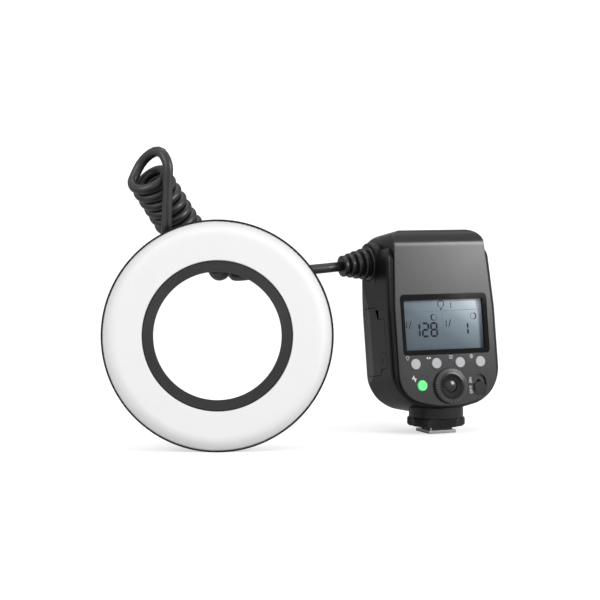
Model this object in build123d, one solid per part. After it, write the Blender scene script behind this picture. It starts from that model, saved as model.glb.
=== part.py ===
from build123d import *
import math
import os

# A macro ring flash: a control unit for a camera's accessory shoe, a ring head for a lens, and a
# curly cord between them. Lengths are in millimetres and angles in degrees. The origin is the
# centre of the shoe foot's underside, +Z is up, and the floor that the ring stands on is Z = 0.
# The unit is drawn in its own body frame: x to its right, y to its back, z up along its lean.
# The ring is drawn in a frame of its own: x right, y up and z forward along the optical axis.

# Attitude
YAW = 22
LEAN = 9
RING_LEAN = 4.77
RING_X = -135
RING_Y = -85.2

# Clearances and cuts
GAP = 0.2
FIT = 0.05
SEAM = 0.35
OVERRUN = 1
EDGE_R = 0.5

# Body of the control unit
BODY_WIDTH = 74.4
CHEEK_TAPER = 2.5
CHEEK_TOP_WIDTH = BODY_WIDTH - 2 * CHEEK_TAPER
BODY_TOP_Z = 124.4
BODY_WAIST_Z = 75
BODY_HIP_Z = 19.6
BODY_APEX_Z = 11.7
BODY_FRONT_Y = -22
BODY_BACK_Y = 20
HIP_R = 24
APEX_R = 60
WAIST_R = 80
SHOULDER_R = 11
BACK_EDGE_R = 5
FLANK_CREASE_Y = 6
FLANK_BACK_INSET = 1.8
TOP_FRONT_R = 11
TOP_BACK_R = 9
WALL = 2
SPLIT_Y = 16.5

# Cheeks, the side shells that stand outside the front panel
CHEEK_STEP = 0.8
CHEEK_TOP_Z = 116
CHEEK_TOP_R = 14
CHEEK_EDGE_R = 4.2

# Front panel and top cap
PANEL_INSET = 3.4
PANEL_TAPER = 3.2
PANEL_WIDTH = BODY_WIDTH - 2 * PANEL_INSET
PANEL_TOP_WIDTH = PANEL_WIDTH - 2 * PANEL_TAPER
PANEL_HIP_Z = 21.3
PANEL_APEX_Z = 12.3
PANEL_HIP_R = 18
PANEL_APEX_R = 70
PANEL_TOP_R = 10
PANEL_T = 2.4
LEDGE = 2
LEDGE_T = 1.3

# Display
LCD_MARGIN = 3.95
LCD_WIDTH = PANEL_WIDTH - 2 * LCD_MARGIN
LCD_HEIGHT = 37
LCD_Z = 65.1
LCD_R = 2.5
LCD_T = 1.4
LCD_LEDGE = 1.8
MODULE_T = 3.6

# Keys
KEY_R = 3.25
KEY_PROUD = 0.9
KEY_Z = 41.2
KEY_XS = (-22.4, -8.1, 8.2, 22.4)
KEY_FLANGE = 0.6
KEY_FLANGE_T = 0.8
KEY_STEM_R = 1.6
KEY_TRAVEL = 0.6
KEY_EDGE_R = 0.35
TEST_X = -18.8
TEST_Z = 28

# Dial and its button
DIAL_X = 0.5
DIAL_Z = 27.1
DIAL_R = 10.8
DIAL_FACE_R = 7.2
DIAL_DISH_R = 4.6
DIAL_PROUD = 3
DIAL_BEVEL = 1
DIAL_DISH = 1.5
DIAL_TEETH = 60
DIAL_TOOTH_DEPTH = 0.45
DIAL_FLANGE = 0.9
DIAL_FLANGE_T = 1
SPINDLE_R = 5.35
SLEEVE_WALL = 1.4
ENCODER_R = 8.2
ENCODER_T = 1.6
SET_R = 4.2
SET_PROUD = 2.1
SET_SWITCH_T = 0.6

# Power switch
SWITCH_X = 21.2
SWITCH_Z = 26.8
SWITCH_R = 4.6
SWITCH_TRAVEL = 4
SWITCH_DEPTH = 1.3
SLIDER_PROUD = 0.5
SLIDER_RIDGE = 1.2
SLIDER_STEM = 2.4
SWITCH_BODY_W = 7
SWITCH_BODY_H = 12
SWITCH_BODY_T = 2.6

# Boards
BOARD_T = 1.6
BOARD_Y = -13.4
BOARD_INSET = 5
KEYBOARD_TOP_Z = 45
MAIN_BOARD_Z0 = 48
MAIN_BOARD_Z1 = 111
MAIN_BOARD_W = 54
POST_R = 2.2
POST_X = 20
KEYBOARD_POST_Z = 40.5
MAIN_POST_Z = 64
CHIP_W = 9
CHIP_T = 1.2

# Battery and its bay
BATTERY_X0 = -34
BATTERY_X1 = 24
BATTERY_Y0 = -6
BATTERY_Y1 = 14.2
BATTERY_Z0 = 38
BATTERY_Z1 = 76
BATTERY_R = 2.5
BAY_WALL = 1.4
FACE_FRONT_Y = -13.3
FACE_STEP_Y = -4.6
FACE_BEVEL = 2.4
FACE_BACK_Y = 14.6
FACE_Z0 = 36.4
FACE_LOW_STEP_Z = 40
FACE_HIGH_STEP_Z = 70.2
FACE_Z1 = 78
FACE_R = 0.8
BAY_SEAT_X = -33.7
BAY_SEAT_T = 1.6
LATCH_WIDTH = 8.6
LATCH_HEIGHT = 9.2
LATCH_T = 1.3
LATCH_TRAVEL = 0.8
LATCH_R = 0.7
LATCH_TONGUE = 1.4
LATCH_TONGUE_H = 4
CONTACT_W = 4
CONTACT_T = 0.8
CONTACT_ZS = (48, 57, 66)
CONTACT_PAD = 0.6

# Power parts
CAPACITOR_R = 11
CAPACITOR_LENGTH = 45
CAPACITOR_X = -3
CAPACITOR_Y = 3.4
CAPACITOR_RIM = 1
TRANSFORMER_X = 19
TRANSFORMER_Z = 108
TRANSFORMER_W = 17
TRANSFORMER_H = 15
TRANSFORMER_D = 16
BOBBIN_T = 2

# Sockets under the rubber flap
PORT_Y0 = -9
PORT_Y1 = 4
PORT_Z0 = 48
PORT_Z1 = 72
PORT_T = 1.8
PORT_R = 2
SOCKET_INSET = 1.4
SOCKET_X0 = 27
JACK_R = 1.9
JACK_Z = 66
USB_W = 3.4
USB_H = 9
USB_Z = 55
SOCKET_DEPTH = 5

# Cord's boot on the left shoulder
BOOT_Y = 6
BOOT_Z = 106.3
BOOT_DROOP = 4.5
BOOT_X0 = -34.5
BOOT_X1 = -55.3
BOOT_TIP_R = 6.7
BOOT_BASE_R = 10.7
BOOT_RIBS = 8
BOOT_RIB_SHARE = 0.56
BOOT_WAIST = 1.5
BOOT_PLUG_R = 5
BOOT_PLUG_LENGTH = 4.5
BOSS_R = 12.4
BOSS_TIP = 16.5
BOSS_TIP_R = 1.5
BOSS_X = -36.2
BOSS_TIP_ANGLE = 250

# Foot
NECK_R = 16.8
NECK_TOP_Z = 24
NECK_Z = 9.8
LOCK_R = 17.85
LOCK_Z0 = 4.5
LOCK_Z1 = 9.6
LOCK_BEVEL = 0.8
LOCK_BORE_R = 11.3
LOCK_LOBES = 6
LOBE_ANGLE = 34
SCALLOP_DEPTH = 1
RIB_COUNT = 12
RIB_PITCH_ANGLE = 2.6
RIB_R = 0.36
BLOCK_WIDTH = 14
BLOCK_LENGTH = 18.4
BLOCK_R = 1.5
FOOT_WIDTH = 18.6
FOOT_LENGTH = 18.4
FOOT_T = 2
FOOT_R = 0.6
INSERT_W = 9.6
INSERT_L = 9
INSERT_STEP = 0.1
CONTACT_R = 0.9
CONTACT_PITCH = 2.6
CONTACT_DEPTH = 1.5
FOOT_SCREW_X = 6.6
FOOT_SCREW_Y = 6.8
FOOT_SCREW_R = 1
FOOT_SCREW_HEAD_R = 1.8
FOOT_SCREW_LENGTH = 3.6
PIN_R = 1
PIN_Y = -6.6
PIN_HEAD_R = 2
PIN_HEAD_T = 1
PIN_TOP_Z = 7
PIN_TRAVEL = 1.3
PIN_BASE_Z = 0.1

# Screws of the body
SCREW_R = 1.3
SCREW_HEAD_R = 2.5
SCREW_HEAD_T = 1.4
SCREW_LENGTH = 9
SCREW_BOSS_R = 3
SCREW_TOP_X = 26
SCREW_TOP_Z = 108
SCREW_LOW_X = 21
SCREW_LOW_Z = 28
SOCKET_R = 0.9

# Ring head
RING_R = 67
RING_RIM_H = 3.2
RING_DEPTH = 24
RING_WALL = 2
RING_BACK_R = 4
RING_LIP = 0.6
DIFFUSER_BEVEL_W = 7
DIFFUSER_FLAT_R = RING_R - DIFFUSER_BEVEL_W
DIFFUSER_BEVEL_H = 3.6
DIFFUSER_SHOULDER_R = 7.5
DIFFUSER_T = 1.8
DIFFUSER_SKIRT_H = 7
CONE_BORE_R = 37.5
CONE_FLARE = 5.7
CONE_FRONT_R = CONE_BORE_R + CONE_FLARE
CONE_T = 1.4
CONE_LIP_H = 0.3
CONE_LAND = 4
REFLECTOR_INSET = 2.6
REFLECTOR_MARGIN = 6.8
REFLECTOR_R0 = CONE_FRONT_R + REFLECTOR_INSET
REFLECTOR_R1 = RING_R - REFLECTOR_MARGIN
REFLECTOR_H = 6.5
REFLECTOR_T = 0.8
REFLECTOR_SHARE = 0.62
REFLECTOR_SWEEP = 142
TUBE_RING_R = (REFLECTOR_R0 + REFLECTOR_R1) / 2
TUBE_R = 2.2
TUBE_H = 12
TUBE_SWEEP = 150
HOLDER_W = 7
HOLDER_D = 9
HOLDER_ANGLES = (76, 104, 256, 284)
LED_BOARD_SWEEP = 18
LED_BOARD_R0 = REFLECTOR_R0 + GAP
LED_BOARD_R1 = REFLECTOR_R1 - GAP
LED_BOARD_H = 9
LED_SIZE = 3
LED_T = 0.8
LED_COUNT = 3
LED_STEP_ANGLE = 5
LED_POST_R = 1.6
LED_POST_ANGLE = 6

# Mount collar and its latch plates
COLLAR_R = 52
COLLAR_WALL = 2.2
COLLAR_DEPTH = 7
SEAT_R = 42
PLATE_T = 1.1
PLATE_GAP = 0.25
PLATE_R = 47.6
PLATE_BORE_R = 44.6
CLAW_R = 41
CLAW_SWEEP = 30
ARM_WIDTH = 15
PAD_INSET = 5.5
PAD_R = RING_R - PAD_INSET
PAD_WIDTH = 22
PAD_LENGTH = 7
PAD_PROUD = 1.6
PAD_EDGE_R = 1
PAD_RIDGES = 3
PAD_RIDGE = 0.5
LEAF_T = 0.35
LEAF_SWEEP = 26
LEAF_ANGLE = 42
RING_SCREW_R = 1
RING_SCREW_HEAD_R = 1.9
RING_SCREW_HEAD_T = 1.2
RING_SCREW_LENGTH = 5
RING_SCREW_INSET = 5.6
RING_SCREW_PITCH_R = RING_R - RING_SCREW_INSET
RING_SCREW_BOSS_R = 2
RING_SCREW_ANGLES = (35, 62, 145, 215, 270, 325)

# Cord's boot on the back of the ring
RING_BOOT_X = -30.4
RING_BOOT_Y = 47.4
RING_BOOT_H = 31
RING_BOOT_TILT = 2
RING_BOOT_LENGTH = 11
RING_BOOT_BASE_R = 5.2
RING_BOOT_TIP_R = 4.4
RING_BOOT_RIBS = 4
RING_BOOT_WAIST = 0.8
GLAND_WIDTH = 14
GLAND_LENGTH = 6
GLAND_DEPTH = 14
GLAND_R = 2

# Cord
CORD_R = 3
COIL_R = 10.3
TAIL_LENGTH = 36
COIL_AXIS = [
    (-176.2, -38.5, 158.3),
    (-166.8, -28, 143.2),
    (-157.4, -17.5, 127.9),
    (-147.2, -9, 115.7),
    (-135.2, -3, 107.8),
    (-121.3, 2, 106.2),
    (-107.5, 6.5, 106),
]
COIL_PITCHES = [7, 6.75, 6.7, 6.7, 6.75, 6.9, 7.2, 8.2, 9.6, 10.2, 10.6, 10]
COIL_START_ANGLE = 200
COIL_END_ANGLE = 262
LOOP_POINTS = [(-168.8, -45.4, 173), (-178.5, -32.4, 167.3)]
LOOP_DIRECTIONS = [(-0.72, 0.9, 0.32), (-0.6, 0.27, -0.45)]
LEAD_START = (-101, -14.3, 99.6)
LEAD_RUN = 22

UNIT = Location((0, 0, 0), (0, 0, YAW))
BODY = UNIT * Location((0, 0, 0), (-LEAN, 0, 0))
RING_Z = RING_R * math.cos(math.radians(RING_LEAN)) + RING_RIM_H * math.sin(math.radians(RING_LEAN))
RING = Location((RING_X, RING_Y, RING_Z), (90 - RING_LEAN, 0, 0))


def rounded(corners):
    """A closed outline through corners given as (u, v, radius)."""
    face = Polygon(*[(u, v) for u, v, radius in corners], align=None)
    for u, v, radius in corners:
        if radius:
            corner = face.vertices().sort_by_distance((u, v, 0))[0]
            face = fillet(corner, radius)
    return face


def mirrored(half):
    """Corners of the right half, from the bottom up, joined to their mirror images."""
    left = [(-u, v, radius) for u, v, radius in reversed(half) if u]
    return half + left


def slab(outline, front, back):
    """A front-view outline, in x and height, filled from a front depth to a back depth."""
    return extrude(Plane.XZ.offset(-back) * outline, amount=back - front)


def bar(outline, left, right):
    """A side-view outline, in depth and height, filled from a left x to a right x."""
    return extrude(Plane.YZ.offset(left) * outline, amount=right - left)


def column(outline, low, high):
    """A top-view outline filled from a low height to a high one."""
    return extrude(Plane.XY.offset(low) * outline, amount=high - low)


def block(x0, x1, y0, y1, z0, z1):
    """A box between two corners."""
    return Pos((x0 + x1) / 2, (y0 + y1) / 2, (z0 + z1) / 2) * Box(x1 - x0, y1 - y0, z1 - z0)


def pin_y(x, z, radius, front, back):
    """A round pin along the body's depth."""
    return slab(Pos(x, z) * Circle(radius), front, back)


def pin_z(x, y, radius, low, high):
    """A round pin along a height."""
    return column(Pos(x, y) * Circle(radius), low, high)


def spun(points, axis=Axis.Z):
    """A solid of revolution from points given as (radius, height)."""
    return revolve(Plane.XZ * Polygon(*points, align=None), axis)


def arc_band(r0, r1, middle, sweep, low, high):
    """A ring segment between two radii, centred on an angle, from a low height to a high one."""
    ring = pin_z(0, 0, r1, low, high) - pin_z(0, 0, r0, low - OVERRUN, high + OVERRUN)
    reach = r1 + OVERRUN
    half = math.radians(sweep / 2)
    if sweep < 180:
        tips = [(reach / math.cos(half) * math.cos(a), reach / math.cos(half) * math.sin(a)) for a in (-half, half)]
        wedge = column(Polygon((0, 0), *tips, align=None), low, high)
        return ring & (Rot(0, 0, middle) * wedge)
    return ring


def on_ring(radius, angle):
    """A point of the ring's face at a radius and an angle from its right-hand side."""
    return radius * math.cos(math.radians(angle)), radius * math.sin(math.radians(angle))


def save(name, shape, place):
    """Writes a node, set in its place, and prints how large it is."""
    export_step(place * shape, os.path.join("parts", name + ".step"))
    print(name, round(shape.volume))


# Outlines of the body
def body_outline():
    """The cheeks' outline from the front, up to their shoulders."""
    return rounded(
        mirrored(
            [
                (0, BODY_APEX_Z, APEX_R),
                (BODY_WIDTH / 2, BODY_HIP_Z, HIP_R),
                (BODY_WIDTH / 2, BODY_WAIST_Z, WAIST_R),
                (CHEEK_TOP_WIDTH / 2, CHEEK_TOP_Z, SHOULDER_R),
            ]
        )
    )


def panel_outline():
    """The front panel's outline from the front."""
    return rounded(
        mirrored(
            [
                (0, PANEL_APEX_Z, PANEL_APEX_R),
                (PANEL_WIDTH / 2, PANEL_HIP_Z, PANEL_HIP_R),
                (PANEL_WIDTH / 2, BODY_WAIST_Z, WAIST_R),
                (PANEL_TOP_WIDTH / 2, BODY_TOP_Z, PANEL_TOP_R),
            ]
        )
    )


def side_profile(front, top, front_radius, back, back_radius):
    """The outline from the side: a front, a rounded top and a back, open-ended below the base."""
    return rounded([(front, 0, 0), (back, 0, 0), (back, top, back_radius), (front, top, front_radius)])


def cheeks():
    """The two side shells with all between them, solid."""
    front = BODY_FRONT_Y + CHEEK_STEP
    solid = slab(body_outline(), front, BODY_BACK_Y)
    solid = fillet(solid.edges().group_by(Axis.Y)[0], CHEEK_EDGE_R)
    solid = fillet(solid.edges().group_by(Axis.Y)[-1], BACK_EDGE_R)
    top = side_profile(front, CHEEK_TOP_Z, CHEEK_TOP_R, BODY_BACK_Y, TOP_BACK_R)
    solid = solid & bar(top, -BODY_WIDTH, BODY_WIDTH)
    return solid & flanks()


def flanks():
    """The sides from above, drawn in behind a crease."""
    half = BODY_WIDTH / 2
    back = half - FLANK_BACK_INSET
    outline = Polygon(
        (-half, BODY_FRONT_Y - OVERRUN),
        (half, BODY_FRONT_Y - OVERRUN),
        (half, FLANK_CREASE_Y),
        (back, BODY_BACK_Y + OVERRUN),
        (-back, BODY_BACK_Y + OVERRUN),
        (-half, FLANK_CREASE_Y),
        align=None,
    )
    return column(outline, 0, BODY_TOP_Z + OVERRUN)


def band():
    """The panel, the top cap and all behind them, solid."""
    solid = slab(panel_outline(), BODY_FRONT_Y, BODY_BACK_Y)
    solid = fillet(solid.edges().group_by(Axis.Y)[0], EDGE_R)
    top = side_profile(BODY_FRONT_Y, BODY_TOP_Z, TOP_FRONT_R, BODY_BACK_Y, TOP_BACK_R)
    return solid & bar(top, -BODY_WIDTH, BODY_WIDTH)


def under_panel(depth):
    """All that lies more than a depth under the panel and the top cap."""
    front = BODY_FRONT_Y + depth
    far = BODY_BACK_Y + OVERRUN
    profile = rounded(
        [(front, 0, 0), (far, 0, 0), (far, BODY_TOP_Z - depth, 0), (front, BODY_TOP_Z - depth, TOP_FRONT_R - depth)]
    )
    return bar(profile, -BODY_WIDTH, BODY_WIDTH)


def boss_outline(grow):
    """The boss of the cord's boot from the side: round, with a blunt tip below."""
    tip_y = BOOT_Y + BOSS_TIP * math.cos(math.radians(BOSS_TIP_ANGLE))
    tip_z = BOOT_Z + BOSS_TIP * math.sin(math.radians(BOSS_TIP_ANGLE))
    tip = Pos(tip_y, tip_z) * Circle(BOSS_TIP_R + grow)
    return make_hull((Pos(BOOT_Y, BOOT_Z) * Circle(BOSS_R + grow)).edges() + tip.edges())


def face_outline():
    """The battery's end face from the side, stepped at its front corners."""
    low = FACE_STEP_Y - FACE_BEVEL / 2
    return rounded(
        [
            (FACE_FRONT_Y, FACE_LOW_STEP_Z, FACE_R),
            (low, FACE_LOW_STEP_Z, FACE_R),
            (FACE_STEP_Y + FACE_BEVEL / 2, FACE_Z0, FACE_R),
            (FACE_BACK_Y, FACE_Z0, FACE_R),
            (FACE_BACK_Y, FACE_Z1, FACE_R),
            (FACE_STEP_Y + FACE_BEVEL + FACE_BEVEL / 2, FACE_Z1, FACE_R),
            (FACE_STEP_Y, FACE_HIGH_STEP_Z, FACE_R),
            (FACE_FRONT_Y, FACE_HIGH_STEP_Z, FACE_R),
        ]
    )


def latch_outline():
    """The catch in the lower front corner of the battery's face."""
    z0 = FACE_LOW_STEP_Z
    return rounded(
        [
            (FACE_FRONT_Y, z0, 0),
            (FACE_FRONT_Y + LATCH_WIDTH, z0, LATCH_R),
            (FACE_FRONT_Y + LATCH_WIDTH, z0 + LATCH_HEIGHT, LATCH_R),
            (FACE_FRONT_Y, z0 + LATCH_HEIGHT, 0),
        ]
    )


def tongue_outline():
    """The catch's tongue, which reaches forward under the shell's edge."""
    middle = FACE_LOW_STEP_Z + LATCH_HEIGHT / 2
    return rounded(
        [
            (FACE_FRONT_Y - LATCH_TONGUE, middle - LATCH_TONGUE_H / 2, 0),
            (FACE_FRONT_Y + LATCH_R, middle - LATCH_TONGUE_H / 2, 0),
            (FACE_FRONT_Y + LATCH_R, middle + LATCH_TONGUE_H / 2, 0),
            (FACE_FRONT_Y - LATCH_TONGUE, middle + LATCH_TONGUE_H / 2, 0),
        ]
    )


def port_outline():
    """The rubber flap on the right side, from the side."""
    return rounded(
        [
            (PORT_Y0, PORT_Z0, PORT_R),
            (PORT_Y1, PORT_Z0, 0),
            (PORT_Y1, PORT_Z1, 0),
            (PORT_Y0, PORT_Z1, PORT_R),
        ]
    )


def screw_places():
    """The four screws of the body, in x and height."""
    return [
        (-SCREW_TOP_X, SCREW_TOP_Z),
        (SCREW_TOP_X, SCREW_TOP_Z),
        (-SCREW_LOW_X, SCREW_LOW_Z),
        (SCREW_LOW_X, SCREW_LOW_Z),
    ]


# Body of the control unit
PANEL_BACK_Y = BODY_FRONT_Y + PANEL_T
BOARD_BACK_Y = BOARD_Y + BOARD_T
SIDE_X = BODY_WIDTH / 2


def main_shell(outer):
    """The moulded body: cheeks, bay, bosses and the seat of the front panel."""
    seat_gap = PANEL_T + GAP
    wide = 2 * SIDE_X
    shell = outer & block(-wide, wide, BODY_FRONT_Y, SPLIT_Y, 0, BODY_TOP_Z + OVERRUN)
    panel_space = slab(offset(panel_outline(), SEAM), BODY_FRONT_Y - OVERRUN, SPLIT_Y + OVERRUN)
    shell -= panel_space - under_panel(seat_gap)
    ledge_back = BODY_FRONT_Y + seat_gap + LEDGE_T
    far = SPLIT_Y + 2 * OVERRUN
    void = slab(offset(body_outline(), -WALL), ledge_back, SPLIT_Y + OVERRUN)
    void &= bar(side_profile(BODY_FRONT_Y, CHEEK_TOP_Z - WALL, CHEEK_TOP_R, far, 0), -SIDE_X, SIDE_X)
    inner = offset(panel_outline(), -LEDGE)
    void += slab(inner, ledge_back, SPLIT_Y + OVERRUN) & under_panel(seat_gap + LEDGE_T)
    void += slab(inner, BODY_FRONT_Y, ledge_back + OVERRUN) & under_panel(seat_gap)
    dial_room = DIAL_R + DIAL_FLANGE + 2 * GAP
    void += pin_y(DIAL_X, DIAL_Z, dial_room, PANEL_BACK_Y, BOARD_Y)
    shell -= void
    shell += outer & bay_walls()
    shell += boss() & block(-wide, 0, BODY_FRONT_Y, SPLIT_Y, 0, BODY_TOP_Z)
    shell += bosses_and_posts(outer)
    shell -= bay_space()
    shell -= boot_space()
    shell -= port_space()
    for x, z in screw_places():
        shell -= pin_y(x, z, SCREW_R + GAP, SPLIT_Y - SCREW_LENGTH, SPLIT_Y + OVERRUN)
    return shell


def bay_walls():
    """The battery bay's tube, its seat behind the end face and the sockets' seat."""
    grow = GAP + BAY_WALL
    tube = block(
        -SIDE_X,
        BATTERY_X1 + grow,
        BATTERY_Y0 - grow,
        BATTERY_Y1 + grow,
        BATTERY_Z0 - grow,
        BATTERY_Z1 + grow,
    )
    seat = bar(offset(face_outline(), BAY_WALL + SEAM), -SIDE_X, BAY_SEAT_X + BAY_SEAT_T)
    port = bar(offset(port_outline(), BAY_WALL), SIDE_X - PORT_T - BAY_SEAT_T - GAP, SIDE_X)
    return (tube + seat + port) & slab(body_outline(), BODY_FRONT_Y + PANEL_T, SPLIT_Y)


def bay_space():
    """What the battery, its face, its catch and its contacts take out of the shell."""
    space = block(
        -SIDE_X - OVERRUN,
        BATTERY_X1 + GAP,
        BATTERY_Y0 - GAP,
        BATTERY_Y1 + GAP,
        BATTERY_Z0 - GAP,
        BATTERY_Z1 + GAP,
    )
    space += bar(offset(face_outline(), SEAM), -SIDE_X - OVERRUN, BAY_SEAT_X)
    space += bar(offset(tongue_outline(), SEAM), -SIDE_X - OVERRUN, BAY_SEAT_X)
    for z in CONTACT_ZS:
        space += contact(z, GAP)
    return space


def contact(z, grow):
    """One spring contact through the end wall of the bay."""
    middle = (BATTERY_Y0 + BATTERY_Y1) / 2
    half = CONTACT_W / 2 + grow
    return block(
        BATTERY_X1 + GAP - grow,
        BATTERY_X1 + GAP + BAY_WALL + CONTACT_T,
        middle - half,
        middle + half,
        z - half,
        z + half,
    )


def boss():
    """The raised pad round the cord's boot, and the wall behind it."""
    return bar(boss_outline(0), BOSS_X, BOOT_X0 + WALL + BAY_WALL)


def boot_seat():
    """The boot's place in the body's frame: on the shoulder, pointing out and a little down."""
    return Pos(BOOT_X0 - GAP, BOOT_Y, BOOT_Z) * Rot(0, -90 - BOOT_DROOP, 0)


def boot_space():
    """The hole for the boot's plug and the shallow recess for its root."""
    space = pin_z(0, 0, BOOT_PLUG_R + GAP / 2, -BOOT_PLUG_LENGTH - GAP, OVERRUN)
    space += pin_z(0, 0, BOOT_BASE_R + GAP, -GAP / 2, BOOT_PLUG_LENGTH)
    return boot_seat() * space


def port_space():
    """The flap's recess and the holes for the sockets behind it."""
    recess = bar(offset(port_outline(), GAP), SIDE_X - PORT_T - GAP, SIDE_X + OVERRUN)
    window = bar(offset(port_outline(), -SOCKET_INSET), SOCKET_X0 - OVERRUN, SIDE_X)
    return recess + window


def bosses_and_posts(outer):
    """Screw bosses from the back and the posts that carry the boards."""
    solids = Part()
    for x, z in screw_places():
        solids += pin_y(x, z, SCREW_BOSS_R, SPLIT_Y - SCREW_LENGTH, SPLIT_Y)
        toward = math.copysign(SIDE_X, x)
        low, high = sorted((x, toward))
        rib = block(low, high, SPLIT_Y - SCREW_LENGTH, SPLIT_Y, z - BAY_WALL / 2, z + BAY_WALL / 2)
        solids += rib
    wall_y = BATTERY_Y0 - GAP - BAY_WALL / 2
    for x in (-POST_X, POST_X):
        for z in (KEYBOARD_POST_Z, MAIN_POST_Z):
            solids += pin_y(x, z, POST_R, BOARD_BACK_Y, wall_y)
    return solids & outer


def rear_cover(outer):
    """The back of the body, a shallow pan with a lip inside the shell."""
    wide = 2 * SIDE_X
    cover = outer & block(-wide, wide, SPLIT_Y + FIT, BODY_BACK_Y, 0, BODY_TOP_Z + OVERRUN)
    hollow = slab(offset(body_outline(), -WALL - BACK_EDGE_R / 2), SPLIT_Y - OVERRUN, BODY_BACK_Y - WALL)
    hollow &= under_panel(WALL + BACK_EDGE_R)
    cover -= hollow + boot_space()
    for x, z in screw_places():
        cover += pin_y(x, z, SCREW_HEAD_R + WALL, SPLIT_Y + FIT, BODY_BACK_Y - WALL / 2)
        cover -= pin_y(x, z, SCREW_R + GAP, SPLIT_Y - OVERRUN, BODY_BACK_Y + OVERRUN)
        cover -= pin_y(x, z, SCREW_HEAD_R + GAP, BODY_BACK_Y - SCREW_HEAD_T - GAP, BODY_BACK_Y + OVERRUN)
    return cover


def front_cover():
    """The panel and the top cap, one plate that bends over the top."""
    cover = band() - under_panel(PANEL_T)
    cover &= block(-SIDE_X, SIDE_X, BODY_FRONT_Y, SPLIT_Y - GAP, 0, BODY_TOP_Z)
    window = Pos(0, LCD_Z) * RectangleRounded(LCD_WIDTH + GAP, LCD_HEIGHT + GAP, LCD_R)
    sight = Pos(0, LCD_Z) * Rectangle(LCD_WIDTH - 2 * LCD_LEDGE, LCD_HEIGHT - 2 * LCD_LEDGE)
    cover -= slab(window, BODY_FRONT_Y - OVERRUN, BODY_FRONT_Y + LCD_T)
    cover -= slab(sight, BODY_FRONT_Y - OVERRUN, PANEL_BACK_Y + OVERRUN)
    for x, z in key_places():
        cover -= pin_y(x, z, KEY_R + GAP, BODY_FRONT_Y - OVERRUN, PANEL_BACK_Y + OVERRUN)
    cover -= pin_y(DIAL_X, DIAL_Z, DIAL_R + GAP, BODY_FRONT_Y - OVERRUN, PANEL_BACK_Y + OVERRUN)
    recess = Pos(SWITCH_X, SWITCH_Z) * SlotCenterToCenter(SWITCH_TRAVEL, 2 * SWITCH_R, rotation=90)
    slot = Pos(SWITCH_X, SWITCH_Z) * SlotCenterToCenter(SWITCH_TRAVEL, SLIDER_STEM + 2 * SEAM, rotation=90)
    cover -= slab(recess, BODY_FRONT_Y - OVERRUN, BODY_FRONT_Y + SWITCH_DEPTH)
    cover -= slab(slot, BODY_FRONT_Y - OVERRUN, PANEL_BACK_Y + OVERRUN)
    return cover


def key_places():
    """The four keys under the display and the test key, in x and height."""
    return [(x, KEY_Z) for x in KEY_XS] + [(TEST_X, TEST_Z)]


def lcd_window():
    """The glossy window, flush in the panel."""
    plate = slab(Pos(0, LCD_Z) * RectangleRounded(LCD_WIDTH, LCD_HEIGHT, LCD_R), BODY_FRONT_Y - GAP, BODY_FRONT_Y + LCD_T)
    return fillet(plate.edges().group_by(Axis.Y)[0], GAP / 2)


def lcd_module():
    """The display behind the window."""
    width = LCD_WIDTH - LCD_LEDGE
    height = LCD_HEIGHT - LCD_LEDGE
    front = PANEL_BACK_Y + GAP
    return slab(Pos(0, LCD_Z) * Rectangle(width, height), front, front + MODULE_T)


def key(x, z):
    """A key: a round cap, a flange under the panel and a stem towards its switch."""
    front = BODY_FRONT_Y - KEY_PROUD
    cap = pin_y(x, z, KEY_R, front, PANEL_BACK_Y + GAP)
    cap = fillet(cap.edges().group_by(Axis.Y)[0], KEY_EDGE_R)
    flange_back = PANEL_BACK_Y + GAP + KEY_FLANGE_T
    cap += pin_y(x, z, KEY_R + KEY_FLANGE, PANEL_BACK_Y + GAP, flange_back)
    stem_back = BOARD_Y - CHIP_T - KEY_TRAVEL - GAP / 2
    return cap + pin_y(x, z, KEY_STEM_R, flange_back, stem_back)


def keypad_board():
    """The board behind the keys, with a switch under each."""
    outline = offset(panel_outline(), -BOARD_INSET)
    board = slab(outline, BOARD_Y, BOARD_BACK_Y) & block(-SIDE_X, SIDE_X, BOARD_Y, BOARD_BACK_Y, 0, KEYBOARD_TOP_Z)
    for x, z in key_places():
        board += slab(Pos(x, z) * Rectangle(KEY_R + KEY_STEM_R, KEY_R + KEY_STEM_R), BOARD_Y - CHIP_T, BOARD_Y)
    return board + pin_y(DIAL_X, DIAL_Z, KEY_STEM_R, BOARD_Y - SET_SWITCH_T, BOARD_Y)


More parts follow.
